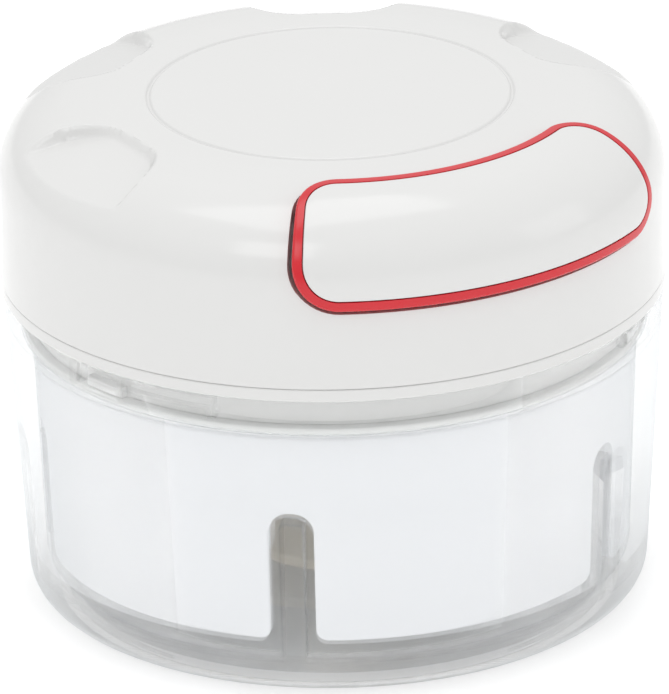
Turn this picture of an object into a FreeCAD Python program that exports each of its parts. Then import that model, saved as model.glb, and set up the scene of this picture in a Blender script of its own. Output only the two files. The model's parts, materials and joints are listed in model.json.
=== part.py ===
# Hand-pulled mini food chopper: clear bowl, white sleeve, domed lid with a pull handle on a cord,
# a spring-wound reel, a one-way clutch and a three-blade cutter.
#
# Frame: millimetres, +Z up, origin at the centre of the bowl's foot, pull handle towards -Y.
# Every sub-part is drawn with its front towards +X and then turned to face -Y in one step.
import FreeCAD, Part
import math
import os
import Sketcher
from FreeCAD import Placement, Rotation, Vector

os.makedirs("parts", exist_ok=True)
doc = FreeCAD.newDocument("pull_cord_chopper")
sheet = doc.addObject("Spreadsheet::Sheet", "Sizes")
UP = Vector(0, 0, 1)
FRONT = Placement(Vector(0, 0, 0), Rotation(UP, -90))


# ---------------------------------------------------------------- sizes
class Size:
    """A length or angle that knows its value and the expression on the sheet that gives it."""

    def __init__(self, value, text):
        self.value = value
        self.text = text

    def _join(self, other, sign, value):
        text = other.text if isinstance(other, Size) else repr(float(other))
        return Size(value, "(" + self.text + " " + sign + " " + text + ")")

    def __add__(self, other):
        return self._join(other, "+", self.value + number(other))

    def __sub__(self, other):
        return self._join(other, "-", self.value - number(other))

    def __mul__(self, other):
        return self._join(other, "*", self.value * number(other))

    def __truediv__(self, other):
        return self._join(other, "/", self.value / number(other))

    def __neg__(self):
        return Size(-self.value, "(-" + self.text + ")")


def number(length):
    """The plain value of a Size or of a number."""
    return length.value if isinstance(length, Size) else float(length)


rows = []


def size(alias, value, note):
    """Write one driving dimension on the sheet and hand it back."""
    rows.append(alias)
    row = str(len(rows))
    sheet.set("A" + row, note)
    sheet.set("B" + row, str(value))
    sheet.setAlias("B" + row, alias)
    sheet.recompute()
    return Size(float(sheet.get(alias)), "Sizes." + alias)


# Numbers that have no unit, or that only place small clutch details.
DEGREES_PER_MM = 1.3  # turn that one millimetre spans round the lid's side, rounded up
TOOTH_FOOT, TOOTH_BACK, TOOTH_SIDE = 0.97, 0.88, 0.44  # ratchet tooth corners, in tip radii
PAWL_TURN = 50  # place of the first pawl's pivot, in degrees
PAWL_EYE = 2.1  # round end of a pawl, in pin radii
PAWL_NOSE, PAWL_HEEL = 1.02, 0.91  # striking end of a pawl, in tip radii
PAWL_LIFT = 1.5  # striking end beside the tooth's line, in gaps
COIL_OUTER, COIL_LEG = 1.7, 3.4  # pawl spring's coil radius and leg length, in pin radii
COIL_HEIGHT, LEG_WIDTH, LEG_START, LEG_TURN = 0.5, 0.4, 1.1, -20  # pawl spring, in mm and degrees
WASHER_RATIO, CLIP_RATIO = 1.6, 1.45  # washer and circlip radii, in spindle radii

# clearances and walls
gap = size("gap", 0.3, "clearance between pieces that pass each other")
run_gap = size("run_gap", 0.05, "radial running clearance of a bearing")
wall = size("wall", 2.0, "moulded wall of the lid")
plate = size("plate", 2.0, "lid base plate thickness")
sheet_steel = size("sheet_steel", 0.8, "blade thickness")

# bowl
rim_radius = size("rim_radius", 46.0, "outer radius of the bowl at its rim")
bowl_height = size("bowl_height", 45.0, "height of the bowl's rim above its foot")
bowl_taper = size("bowl_taper", 2.7, "how much smaller the bowl's outside is at its base")
bowl_corner = size("bowl_corner", 4.6, "rounding between the bowl's side and its base")
socket_wall = size("socket_wall", 2.3, "bowl wall beside the lid's plug")
shelf_width = size("shelf_width", 1.5, "ledge under the lid's plug")
socket_depth = size("socket_depth", 5.9, "ledge below the rim")
floor_top = size("floor_top", 4.0, "inside floor of the bowl")
floor_corner = size("floor_corner", 2.6, "rounding between the floor and the wall inside")
foot_height = size("foot_height", 1.2, "foot ring height")
foot_width = size("foot_width", 1.6, "foot ring width")
rib_width = size("rib_width", 3.4, "upright rib width")
rib_depth = size("rib_depth", 2.5, "upright rib depth")
rib_top = size("rib_top", 25.0, "top of the upright ribs")
rib_first = size("rib_first", -40.0, "angle of the first rib from the front")
boss_radius = size("boss_radius", 4.2, "raised boss that holds the pivot pin")
boss_height = size("boss_height", 1.0, "boss above the floor")
pin_radius = size("pin_radius", 1.5, "pivot pin radius")
pin_depth = size("pin_depth", 2.2, "pivot pin pressed into the floor")
pin_length = size("pin_length", 11.0, "pivot pin length")

# bayonet lock between lid and bowl
lock_first = size("lock_first", -78.0, "angle of the first lug from the front at rest")
lug_angle = size("lug_angle", 9.0, "width of a lug")
lug_height = size("lug_height", 1.5, "height of a lug")
lug_drop = size("lug_drop", 4.6, "underside of the lugs below the rim")
catch_depth = size("catch_depth", 1.2, "how far a catch stands in from the socket wall")
catch_angle = size("catch_angle", 18.0, "width of the bowl's catch")
catch_height = size("catch_height", 1.5, "height of the bowl's catch")
catch_lead = size("catch_lead", 6.0, "from a lug's centre to the start of its catch")
stop_angle = size("stop_angle", 1.4, "width of the stop ribs")

# white sleeve
sleeve_wall = size("sleeve_wall", 1.2, "sleeve thickness")
sleeve_bottom = size("sleeve_bottom", 7.5, "lower edge of the sleeve")
sleeve_gap = size("sleeve_gap", 0.25, "sleeve to bowl wall")
slot_width = size("slot_width", 6.3, "notch around each rib")
slot_top = size("slot_top", 26.6, "top of the notches")

# lid outside
lid_overhang = size("lid_overhang", 0.4, "lid beyond the bowl's rim")
seam_gap = size("seam_gap", 0.2, "between the rim and the lid's flange")
shell_height = size("shell_height", 25.1, "lid shell height")
shoulder = size("shoulder", 11.0, "shoulder rounding of the lid")
ring_radius = size("ring_radius", 25.2, "fine groove on the lid's top")
ring_width = size("ring_width", 0.8, "width of that groove")
ring_depth = size("ring_depth", 0.3, "depth of that groove")
scoop_reach = size("scoop_reach", 31.0, "inner end of a finger scoop from the axis")
scoop_half = size("scoop_half", 11.5, "half width of a finger scoop")
scoop_start = size("scoop_start", 0.9, "depth of a scoop at its inner end")
scoop_round = size("scoop_round", 7.0, "corner rounding of a scoop")
scoop_length = size("scoop_length", 24.0, "scoop cutter length, past the lid's side")
scoop_flare = size("scoop_flare", 5.4, "widening of each side of a scoop at its outer end")
scoop_tilt = size("scoop_tilt", 14.0, "slope of a scoop's floor")

# lid inside
plug_gap = size("plug_gap", 0.3, "plug to the catches")
plug_wall = size("plug_wall", 2.0, "plug skirt thickness")
seal_height = size("seal_height", 1.0, "seal ring height")
seal_lift = size("seal_lift", 0.1, "seal to ledge")
upstand_height = size("upstand_height", 3.0, "locating rim inside the shell")
upstand_wall = size("upstand_wall", 1.0, "locating rim thickness")
screw_circle = size("screw_circle", 37.0, "radius of the lid screws")
screw_radius = size("screw_radius", 1.2, "screw shank radius")
screw_head = size("screw_head", 2.3, "screw head radius")
screw_head_height = size("screw_head_height", 1.4, "screw head height")
screw_length = size("screw_length", 11.0, "screw shank length")
post_radius = size("post_radius", 3.2, "screw post radius")

# pull handle
handle_half = size("handle_half", 38.0, "half angle of the handle")
handle_drop = size("handle_drop", 13.5, "lower edge of the handle below the lid's top")
handle_top = size("handle_top", 33.6, "upper edge of the handle, from the axis")
handle_stand = size("handle_stand", 1.2, "handle face beyond the lid")
handle_round = size("handle_round", 6.5, "corner rounding of the handle")
cover_wall = size("cover_wall", 0.9, "handle face thickness")
cover_inset = size("cover_inset", 1.5, "red border around the face")
cover_rise = size("cover_rise", 1.1, "red border under the face")
border_drop = size("border_drop", 0.15, "red border set back behind the face")
recess_depth = size("recess_depth", 4.0, "handle recess in the lid")
recess_gap = size("recess_gap", 0.7, "room around the handle in its recess")
knot_radius = size("knot_radius", 2.0, "stopper on the end of the cord")
knot_length = size("knot_length", 1.9, "stopper length")

# cord and reel
cord_radius = size("cord_radius", 0.9, "pull cord radius")
cord_drop = size("cord_drop", 9.3, "pull cord below the lid's top")
drum_radius = size("drum_radius", 13.4, "reel drum radius")
drum_wall = size("drum_wall", 1.6, "reel drum wall")
drum_width = size("drum_width", 7.6, "winding width on the drum")
reel_flange = size("reel_flange", 18.5, "reel flange radius")
flange_wall = size("flange_wall", 1.2, "reel flange thickness")
eyelet_wall = size("eyelet_wall", 0.8, "cord eyelet wall")

# drive hub, clutch and recoil spring
hub_radius = size("hub_radius", 7.0, "drive hub bearing radius")
socket_length = size("socket_length", 6.6, "hub socket depth")
clip_groove = size("clip_groove", 0.6, "circlip groove depth")
clip_height = size("clip_height", 0.6, "circlip thickness")
washer_height = size("washer_height", 0.3, "thrust washer thickness")
spindle_radius = size("spindle_radius", 4.0, "drive hub spindle radius")
bush_wall = size("bush_wall", 1.5, "bearing bush wall")
hub_disc = size("hub_disc", 10.6, "clutch disc radius")
disc_wall = size("disc_wall", 2.0, "clutch disc thickness")
hub_below = size("hub_below", 3.2, "hub below the base plate")
dog_key = size("dog_key", 1.4, "drive key depth in the hub socket")
socket_wall_hub = size("socket_wall_hub", 1.9, "hub wall around its socket")
ratchet_height = size("ratchet_height", 3.2, "ratchet ring height")
ratchet_root = size("ratchet_root", 11.0, "ratchet tooth root radius")
ratchet_tip = size("ratchet_tip", 9.8, "ratchet tooth tip radius")
ratchet_teeth = size("ratchet_teeth", 12, "number of ratchet teeth")
pawl_pivot = size("pawl_pivot", 7.0, "pawl pivot from the axis")
pawl_pin = size("pawl_pin", 0.8, "pawl pin radius")
pawl_height = size("pawl_height", 2.4, "pawl thickness")
cup_wall = size("cup_wall", 1.5, "spring cup wall")
cup_radius = size("cup_radius", 28.5, "spring cup radius")
spring_height = size("spring_height", 7.0, "recoil spring strip height")
spring_strip = size("spring_strip", 0.5, "recoil spring strip thickness")
spring_turns = size("spring_turns", 7, "recoil spring turns")

# cutter
shaft_radius = size("shaft_radius", 5.8, "cutter shaft radius")
shaft_foot = size("shaft_foot", 12.5, "cutter shaft foot radius")
shaft_foot_height = size("shaft_foot_height", 1.6, "cutter foot height")
shaft_foot_cone = size("shaft_foot_cone", 4.4, "cone above the cutter foot")
blade_reach = size("blade_reach", 35.5, "tip of a blade from the axis")
blade_first = size("blade_first", 12.0, "lowest blade above the foot")
blade_step = size("blade_step", 8.5, "from one blade to the next")
blade_width = size("blade_width", 9.0, "blade width at its root")
blade_tip = size("blade_tip", 3.0, "blade width at its tip")
blade_sweep = size("blade_sweep", 7.0, "how far the tip stands aside")
blade_bow = size("blade_bow", 34.0, "curve of the cutting edge")
blade_back = size("blade_back", 30.0, "curve of the blade's back")
tang_width = size("tang_width", 5.0, "blade tang width")
tang_end = size("tang_end", 3.0, "inner end of a tang from the axis")
bush_sleeve = size("bush_sleeve", 1.0, "pivot bush wall")
fin_angle = size("fin_angle", 30.0, "width of a drive fin or key")

# ---------------------------------------------------------------- places that follow from the sizes
base_radius = rim_radius - bowl_taper
foot_out = base_radius - bowl_corner + gap * 2
socket_radius = rim_radius - socket_wall
shelf_z = bowl_height - socket_depth
inner_top = socket_radius - shelf_width
inner_low = inner_top - bowl_taper * 0.5
boss_top = floor_top + boss_height

seam_z = bowl_height + seam_gap
plate_top = seam_z + plate
shell_bottom = plate_top
lid_radius = rim_radius + lid_overhang
lid_top = shell_bottom + shell_height
shell_inner = lid_radius - wall
lid_under = lid_top - wall
shoulder_z = lid_top - shoulder
flat_radius = lid_radius - shoulder
handle_bottom = lid_top - handle_drop
cord_height = lid_top - cord_drop

plug_radius = socket_radius - catch_depth - plug_gap
seal_bottom = shelf_z + seal_lift
seal_top = seal_bottom + seal_height
plug_bottom = seal_top + run_gap
spigot_radius = plug_radius - plug_wall * 0.5

hub_bottom = seam_z - hub_below
hub_bore = hub_radius - socket_wall_hub
disc_bottom = plate_top + bush_wall + cup_wall * 0.5
disc_top = disc_bottom + disc_wall
ratchet_bottom = disc_top + gap
drum_bottom = disc_bottom + gap
winding_low = cord_height - drum_width * 0.5
winding_top = cord_height + drum_width * 0.5
reel_top = winding_top + flange_wall
skirt_radius = drum_radius - drum_wall
wound_radius = drum_radius + cord_radius * 2
cord_line = drum_radius + cord_radius

cup_floor = plate_top + cup_wall
cup_top = cup_floor + spring_height + gap * 4

shaft_bottom = boss_top + gap
shaft_top = hub_bottom - gap * 2
fin_radius = hub_bore - gap
core_radius = hub_bore - dog_key - gap


# ---------------------------------------------------------------- drawing helpers
def body(label):
    """A PartDesign body with the name of its sub-part."""
    made = doc.addObject("PartDesign::Body", label)
    made.Label = label
    return made


def plane_of(owner, role):
    """One of a body's own origin planes or axes."""
    return [item for item in owner.Origin.OriginFeatures if item.Role == role][0]


def sketch(owner, role, height=None, turn=None):
    """An empty sketch on an origin plane, raised along its normal and turned about it."""
    made = owner.newObject("Sketcher::SketchObject", owner.Label + "_sketch")
    made.AttachmentSupport = [(plane_of(owner, role), "")]
    made.MapMode = "FlatFace"
    made.AttachmentOffset = Placement(Vector(0, 0, 0), Rotation(UP, 0))
    if turn is not None:
        made.AttachmentOffset = Placement(Vector(0, 0, 0), Rotation(UP, number(turn)))
    if height is not None:
        made.setExpression("AttachmentOffset.Base.z", height.text)
    return made


def hold(drawing, kind, item, point, length):
    """Hold one coordinate of a point on the sheet's value, or on the axis when it is nought."""
    if not isinstance(length, Size):
        axis = -2 if kind == "DistanceX" else -1
        drawing.addConstraint(Sketcher.Constraint("PointOnObject", item, point, axis))
        return
    index = drawing.addConstraint(Sketcher.Constraint(kind, -1, 1, item, point, length.value))
    drawing.setExpression("Constraints[" + str(index) + "]", length.text)


def outline(drawing, corners):
    """A closed outline. A corner is (x, y), or (x, y, r, side) where an arc leads to the next one.

    Each corner is held by its two distances from the origin, and each arc by its radius.
    """
    items = []
    for place, corner in enumerate(corners):
        after = corners[(place + 1) % len(corners)]
        start = Vector(number(corner[0]), number(corner[1]), 0)
        end = Vector(number(after[0]), number(after[1]), 0)
        if len(corner) == 2:
            items.append(drawing.addGeometry(Part.LineSegment(start, end)))
            continue
        radius, side = corner[2], corner[3]
        half = (end - start) * 0.5
        across = Vector(-half.y, half.x, 0).normalize() * side
        rise = math.sqrt(max(number(radius) ** 2 - half.Length ** 2, 0.0))
        centre = start + half - across * rise
        middle = centre + across * number(radius)
        items.append(drawing.addGeometry(Part.Arc(start, middle, end)))
    for place, corner in enumerate(corners):
        item = items[place]
        after = items[(place + 1) % len(items)]
        start_point, end_point = ends_of(drawing, item, corner)
        after_corner = corners[(place + 1) % len(corners)]
        drawing.addConstraint(Sketcher.Constraint("Coincident", item, end_point, after,
                                                  ends_of(drawing, after, after_corner)[0]))
        hold(drawing, "DistanceX", item, start_point, corner[0])
        hold(drawing, "DistanceY", item, start_point, corner[1])
        if len(corner) > 2:
            index = drawing.addConstraint(Sketcher.Constraint("Radius", item, corner[2].value))
            drawing.setExpression("Constraints[" + str(index) + "]", corner[2].text)
    return drawing


def ends_of(drawing, item, corner):
    """Which of an edge's two sketch points is its start: arcs always run anticlockwise."""
    start = Vector(number(corner[0]), number(corner[1]), 0)
    return (1, 2) if (drawing.getPoint(item, 1) - start).Length < 1e-6 else (2, 1)


def turned(label, corners, angle=None):
    """A body turned from an outline of (radius, height) corners about the upright axis."""
    owner = body(label)
    drawing = outline(sketch(owner, "XZ_Plane"), corners)
    feature = owner.newObject("PartDesign::Revolution", label + "_turn")
    feature.Profile = drawing
    feature.ReferenceAxis = (drawing, ["V_Axis"])
    feature.Angle = 360
    if angle is not None:
        feature.Midplane = True
        feature.setExpression("Angle", (angle * 2).text)
    drawing.Visibility = False
    doc.recompute()
    return owner


def add_turned(owner, corners, angle, turn):
    """Add a part turn of an outline to a body, centred on an angle from the front."""
    drawing = outline(sketch(owner, "XZ_Plane"), corners)
    drawing.AttachmentOffset = Placement(Vector(0, 0, 0), Rotation(Vector(0, 1, 0), number(turn)))
    feature = owner.newObject("PartDesign::Revolution", owner.Label + "_arc")
    feature.Profile = drawing
    feature.ReferenceAxis = (drawing, ["V_Axis"])
    feature.Midplane = True
    feature.setExpression("Angle", angle.text)
    doc.recompute()
    return feature


def ring(label, inner, outer, low, top):
    """A plain ring."""
    return turned(label, [(inner, low), (outer, low), (outer, top), (inner, top)])


def around(owner, features, count, angle=360):
    """Repeat features about the upright axis."""
    pattern = owner.newObject("PartDesign::PolarPattern", owner.Label + "_around")
    pattern.Originals = features
    pattern.Axis = (plane_of(owner, "Z_Axis"), [""])
    pattern.Angle = angle
    pattern.Occurrences = count
    owner.Tip = pattern
    doc.recompute()
    return pattern


def cylinder(label, radius, low, height, x=None, y=None):
    """An upright Part cylinder bound to the sheet."""
    made = doc.addObject("Part::Cylinder", label)
    made.Label = label
    made.setExpression("Radius", radius.text)
    made.setExpression("Height", height.text)
    made.setExpression("Placement.Base.z", low.text)
    for axis, length in (("x", x), ("y", y)):
        if length is not None:
            made.setExpression("Placement.Base." + axis, length.text)
    return made


def cut(label, base, tool):
    made = doc.addObject("Part::Cut", label)
    made.Label = label
    made.Base = base
    made.Tool = tool
    doc.recompute()
    return made


def fuse(label, shapes):
    made = doc.addObject("Part::MultiFuse", label)
    made.Label = label
    made.Shapes = shapes
    doc.recompute()
    return made


def feature(label, shape):
    """A sub-part whose shape is worked out with Part's own functions."""
    made = doc.addObject("Part::Feature", label)
    made.Label = label
    made.Shape = shape
    return made


def polar(radius, angle, height=0.0):
    """A point at a radius, an angle from the front in degrees and a height."""
    turn = math.radians(number(angle))
    return Vector(number(radius) * math.cos(turn), number(radius) * math.sin(turn), number(height))


nodes = []


def keep(made):
    """List an object as a sub-part of the assembly."""
    nodes.append(made)
    return made


def disc_at(owner, kind, radius, height, length, x):
    """Pad a disc upwards, or pocket one downwards, at a distance in front of the axis."""
    drawing = sketch(owner, "XY_Plane", height)
    item = drawing.addGeometry(Part.Circle(Vector(number(x), 0, 0), UP, radius.value))
    hold(drawing, "DistanceX", item, 3, x)
    hold(drawing, "DistanceY", item, 3, 0)
    index = drawing.addConstraint(Sketcher.Constraint("Radius", item, radius.value))
    drawing.setExpression("Constraints[" + str(index) + "]", radius.text)
    return raised(owner, kind, drawing, length)


def raised(owner, kind, drawing, length):
    """A Pad up or a Pocket down from a drawing. A pocket that cuts nothing stops the script."""
    before = owner.Shape.Volume if kind == "Pocket" else 0.0
    made = owner.newObject("PartDesign::" + kind, owner.Label + "_" + kind.lower())
    made.Profile = drawing
    made.setExpression("Length", length.text)
    drawing.Visibility = False
    doc.recompute()
    if kind == "Pocket" and made.Shape.Volume > before - 1e-3:
        raise RuntimeError(owner.Label + ": a pocket cuts nothing")
    return made


def rod(label, radius, start, end, height):
    """A Part cylinder lying along the front direction."""
    made = doc.addObject("Part::Cylinder", label)
    made.Label = label
    made.Placement = Placement(Vector(0, 0, 0), Rotation(Vector(0, 1, 0), 90))
    made.setExpression("Radius", radius.text)
    made.setExpression("Height", (end - start).text)
    made.setExpression("Placement.Base.x", start.text)
    made.setExpression("Placement.Base.z", height.text)
    return made


def facing_rod(label, radius, start, end, height):
    """A kept cylinder that lies along -Y, drawn where it stays."""
    made = doc.addObject("Part::Cylinder", label)
    made.Label = label
    made.Placement = Placement(Vector(0, 0, 0), Rotation(Vector(1, 0, 0), 90))
    made.setExpression("Radius", radius.text)
    made.setExpression("Height", (end - start).text)
    made.setExpression("Placement.Base.y", (-start).text)
    made.setExpression("Placement.Base.z", height.text)
    return made


# ---------------------------------------------------------------- bowl
def make_bowl():
    """Clear drafted bowl with a foot ring, a lid socket, catches, ribs and a pin boss."""
    foot_in = foot_out - foot_width
    owner = turned("bowl", [
        (0, foot_height),
        (foot_in, foot_height),
        (foot_in, 0),
        (foot_out, 0, bowl_corner, -1),
        (base_radius, bowl_corner),
        (rim_radius, bowl_height),
        (socket_radius, bowl_height),
        (socket_radius, shelf_z),
        (inner_top, shelf_z),
        (inner_low, floor_top + floor_corner, floor_corner, 1),
        (inner_low - floor_corner, floor_top),
        (boss_radius, floor_top),
        (boss_radius, boss_top),
        (pin_radius, boss_top),
        (pin_radius, floor_top - pin_depth),
        (0, floor_top - pin_depth),
    ])
    drawing = sketch(owner, "XY_Plane", floor_top - gap, rib_first)
    outline(drawing, [
        (inner_low - rib_depth, -rib_width / 2),
        (inner_top - gap, -rib_width / 2),
        (inner_top - gap, rib_width / 2),
        (inner_low - rib_depth, rib_width / 2),
    ])
    rib = raised(owner, "Pad", drawing, rib_top - floor_top + gap)
    around(owner, [rib], 5)
    catch_low = bowl_height - lug_drop + lug_height + gap
    bite = socket_radius + gap
    arc = [
        (socket_radius - catch_depth, catch_low),
        (bite, catch_low),
        (bite, catch_low + catch_height),
        (socket_radius - catch_depth, catch_low + catch_height),
    ]
    upright = [
        (socket_radius - catch_depth, seal_top + gap),
        (bite, seal_top + gap),
        (bite, catch_low + catch_height),
        (socket_radius - catch_depth, catch_low + catch_height),
    ]
    catch = add_turned(owner, arc, catch_angle, lock_first + catch_lead + catch_angle / 2)
    lead = add_turned(owner, upright, stop_angle, lock_first - catch_lead - stop_angle / 2)
    stop = add_turned(owner, upright, stop_angle, lock_first + catch_lead + catch_angle)
    around(owner, [catch, lead, stop], 3)
    return owner


def make_sleeve():
    """White tapered sleeve inside the bowl, with a notch around each rib."""
    top = shelf_z - gap * 2
    drop = (shelf_z - floor_top - floor_corner)
    lean = (inner_top - inner_low) / drop
    outer_top = inner_top - sleeve_gap - lean * (shelf_z - top)
    outer_low = inner_top - sleeve_gap - lean * (shelf_z - sleeve_bottom)
    owner = turned("bowl_liner", [
        (outer_low - sleeve_wall, sleeve_bottom),
        (outer_low, sleeve_bottom),
        (outer_top, top),
        (outer_top - sleeve_wall, top),
    ])
    drawing = sketch(owner, "YZ_Plane")
    drawing.AttachmentOffset = Placement(Vector(0, 0, 0), Rotation(Vector(0, 1, 0), number(rib_first)))
    shoulder_top = slot_top - slot_width / 2
    outline(drawing, [
        (-slot_width / 2, sleeve_bottom - gap),
        (slot_width / 2, sleeve_bottom - gap),
        (slot_width / 2, shoulder_top, slot_width / 2 + gap / 10, -1),
        (-slot_width / 2, shoulder_top),
    ])
    before = owner.Shape.Volume
    notch = owner.newObject("PartDesign::Pocket", "bowl_liner_notch")
    notch.Profile = drawing
    notch.Reversed = True
    notch.setExpression("Length", rim_radius.text)
    doc.recompute()
    if notch.Shape.Volume > before - 1.0:
        raise RuntimeError("the sleeve's notch cuts nothing")
    around(owner, [notch], 5)
    return owner


# ---------------------------------------------------------------- lid
def lid_outline(offset, low, inner=0):
    """Corners of the lid's domed outline, moved out by an offset, as a closed turning profile."""
    return [
        (inner, low),
        (lid_radius + offset, low),
        (lid_radius + offset, shoulder_z, shoulder + offset, -1),
        (flat_radius, lid_top + offset),
        (inner, lid_top + offset),
    ]


def band(label, inner_offset, outer_offset, low, top_radius, half_angle, rounding):
    """A part turn that wraps the lid's shoulder at the front, with its four corners rounded."""
    owner = turned(label, [
        (lid_radius + inner_offset, low),
        (lid_radius + outer_offset, low),
        (lid_radius + outer_offset, shoulder_z, shoulder + outer_offset, -1),
        (flat_radius, lid_top + outer_offset),
        (top_radius, lid_top + outer_offset),
        (top_radius, lid_top + inner_offset),
        (flat_radius, lid_top + inner_offset, shoulder + inner_offset, 1),
        (lid_radius + inner_offset, shoulder_z),
    ], half_angle)
    names = []
    for count, edge in enumerate(owner.Shape.Edges, 1):
        points = [vertex.Point for vertex in edge.Vertexes]
        if len(points) != 2:
            continue
        one_end = points[0].y * points[1].y > 0 and points[0].distanceToPoint(points[1]) > 0.01
        at_low = all(abs(p.z - number(low)) < 0.01 for p in points)
        at_top = all(abs(math.hypot(p.x, p.y) - number(top_radius)) < 0.01 for p in points)
        if one_end and (at_low or at_top):
            names.append("Edge" + str(count))
    turning = owner.Tip
    rounded = owner.newObject("PartDesign::Fillet", label + "_corners")
    rounded.Base = (turning, names)
    rounded.setExpression("Radius", rounding.text)
    owner.Tip = rounded
    doc.recompute()
    return owner


def scoops(label, grow):
    """Four rounded cutters for the finger scoops, grown by a wall where the inside follows them."""
    owner = body(label)
    drawing = owner.newObject("Sketcher::SketchObject", label + "_sketch")
    drawing.AttachmentSupport = [(plane_of(owner, "XY_Plane"), "")]
    drawing.MapMode = "FlatFace"
    turn = Rotation(UP, 90).multiply(Rotation(Vector(0, 1, 0), number(scoop_tilt)))
    drawing.AttachmentOffset = Placement(Vector(0, 0, 0), turn)
    drawing.setExpression("AttachmentOffset.Base.y", scoop_reach.text)
    drawing.setExpression("AttachmentOffset.Base.z", (lid_top - scoop_start - grow).text)
    half = scoop_half + grow
    outer_half = half + scoop_flare
    rounding = scoop_round + grow
    outline(drawing, [
        (scoop_round, -half),
        (scoop_length, -outer_half),
        (scoop_length, outer_half),
        (scoop_round, half, rounding, -1),
        (-grow, scoop_half - scoop_round),
        (-grow, scoop_round - scoop_half, rounding, -1),
    ])
    pad = raised(owner, "Pad", drawing, scoop_length)
    around(owner, [pad], 4, 180)
    return owner


def make_shell():
    """Domed lid shell with a groove, four scoops, the handle recess, posts and a cord hole."""
    recess_turn = handle_half + recess_gap * DEGREES_PER_MM
    recess_low = handle_bottom - recess_gap
    recess_in = handle_top - recess_gap
    recess_round = handle_round + recess_gap
    past = gap * 10
    outside = turned("lid_outside", lid_outline(0, shell_bottom))
    recess = band("lid_recess", -recess_depth, past, recess_low, recess_in, recess_turn, recess_round)
    backing = band("recess_backing", -recess_depth - wall, past, recess_low - wall, recess_in - wall,
                   recess_turn + wall * DEGREES_PER_MM, recess_round)
    inside = turned("lid_inside", lid_outline(-wall, shell_bottom - wall))
    groove = ring("lid_groove", ring_radius - ring_width / 2, ring_radius + ring_width / 2,
                  lid_top - ring_depth, lid_top + ring_depth)
    hollow = cut("lid_hollow", inside, fuse("lid_thickened", [scoops("scoop_backing", wall), backing]))
    shell = cut("lid_skin", outside, fuse("lid_cuts", [hollow, scoops("scoop_cut", 0), recess, groove]))
    posts = body("shell_posts")
    low = plate_top + plate + gap / 3
    post = disc_at(posts, "Pad", post_radius, low, lid_under - low, screw_circle)
    pilot = disc_at(posts, "Pocket", screw_radius, low + screw_length, screw_length, screw_circle)
    around(posts, [post, pilot], 3)
    posts.Placement = Placement(Vector(0, 0, 0), Rotation(UP, 60))
    hole = rod("cord_hole", cord_radius + eyelet_wall + gap / 2, shell_inner - recess_depth * 2,
               lid_radius, cord_height)
    return cut("lid_shell", fuse("shell_with_posts", [shell, posts]), hole)


def make_base():
    """Base plate of the lid: flange, plug skirt with lugs, locating rim and screw bosses."""
    bore = hub_radius + bush_wall
    plug_in = plug_radius - plug_wall
    rim_out = shell_inner - gap / 2
    owner = turned("lid_base", [
        (bore, seam_z),
        (plug_in, seam_z),
        (plug_in, seal_bottom),
        (spigot_radius, seal_bottom),
        (spigot_radius, plug_bottom),
        (plug_radius, plug_bottom),
        (plug_radius, seam_z),
        (lid_radius, seam_z),
        (lid_radius, plate_top),
        (rim_out, plate_top),
        (rim_out, plate_top + upstand_height),
        (rim_out - upstand_wall, plate_top + upstand_height),
        (rim_out - upstand_wall, plate_top),
        (bore, plate_top),
    ])
    lug_low = bowl_height - lug_drop
    lug = add_turned(owner, [
        (plug_radius - gap, lug_low),
        (socket_radius - gap, lug_low),
        (socket_radius - gap, lug_low + lug_height),
        (plug_radius - gap, lug_low + lug_height),
    ], lug_angle, lock_first)
    around(owner, [lug], 3)
    posts = body("base_posts")
    post = disc_at(posts, "Pad", post_radius, seam_z, plate * 2, screw_circle)
    posts.Placement = Placement(Vector(0, 0, 0), Rotation(UP, 60))
    around(posts, [post], 3)
    holes = body("base_holes")
    shank = disc_at(holes, "Pad", screw_radius + gap / 3, seam_z - gap, plate * 3, screw_circle)
    head = disc_at(holes, "Pad", screw_head + gap / 2, seam_z - gap, screw_head_height + gap * 2,
                   screw_circle)
    holes.Placement = Placement(Vector(0, 0, 0), Rotation(UP, 60))
    around(holes, [shank, head], 3)
    owner.Label = "base_turning"
    return cut("lid_base", fuse("base_with_posts", [owner, posts]), holes)


def make_screws():
    """Three lid screws, heads down, from the base plate into the shell's posts."""
    owner = body("screw_set")
    head_top = seam_z + screw_head_height + gap
    head = disc_at(owner, "Pad", screw_head, seam_z + gap, screw_head_height, screw_circle)
    shank = disc_at(owner, "Pad", screw_radius, head_top - gap / 3, screw_length, screw_circle)
    around(owner, [head, shank], 3)
    return owner


# ---------------------------------------------------------------- handle and cord
def make_handle():
    """Red backing frame and white face of the pull handle."""
    frame_out = handle_stand - border_drop
    seat = handle_stand - cover_wall
    turn_in = cover_inset * DEGREES_PER_MM
    frame = band("frame_band", gap - recess_depth, frame_out, handle_bottom, handle_top,
                 handle_half, handle_round)
    face = band("handle_cover", seat, handle_stand, handle_bottom + cover_rise,
                handle_top + cover_inset, handle_half - turn_in, handle_round - cover_inset)
    rebate = band("face_rebate", seat, handle_stand + gap, handle_bottom + cover_rise,
                  handle_top + cover_inset, handle_half - turn_in, handle_round - cover_inset)
    pocket = rod("knot_pocket", knot_radius + gap / 2, knot_floor(), lid_radius + handle_stand, cord_height)
    hole = rod("frame_hole", cord_radius + gap / 2, lid_radius - recess_depth * 2,
               lid_radius + frame_out, cord_height)
    return cut("handle_frame", frame, fuse("frame_holes", [pocket, hole, rebate])), face


def knot_floor():
    """Where the pocket for the cord's stopper starts, in front of the axis."""
    return lid_radius + handle_stand - cover_wall - knot_length - gap * 2


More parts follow.
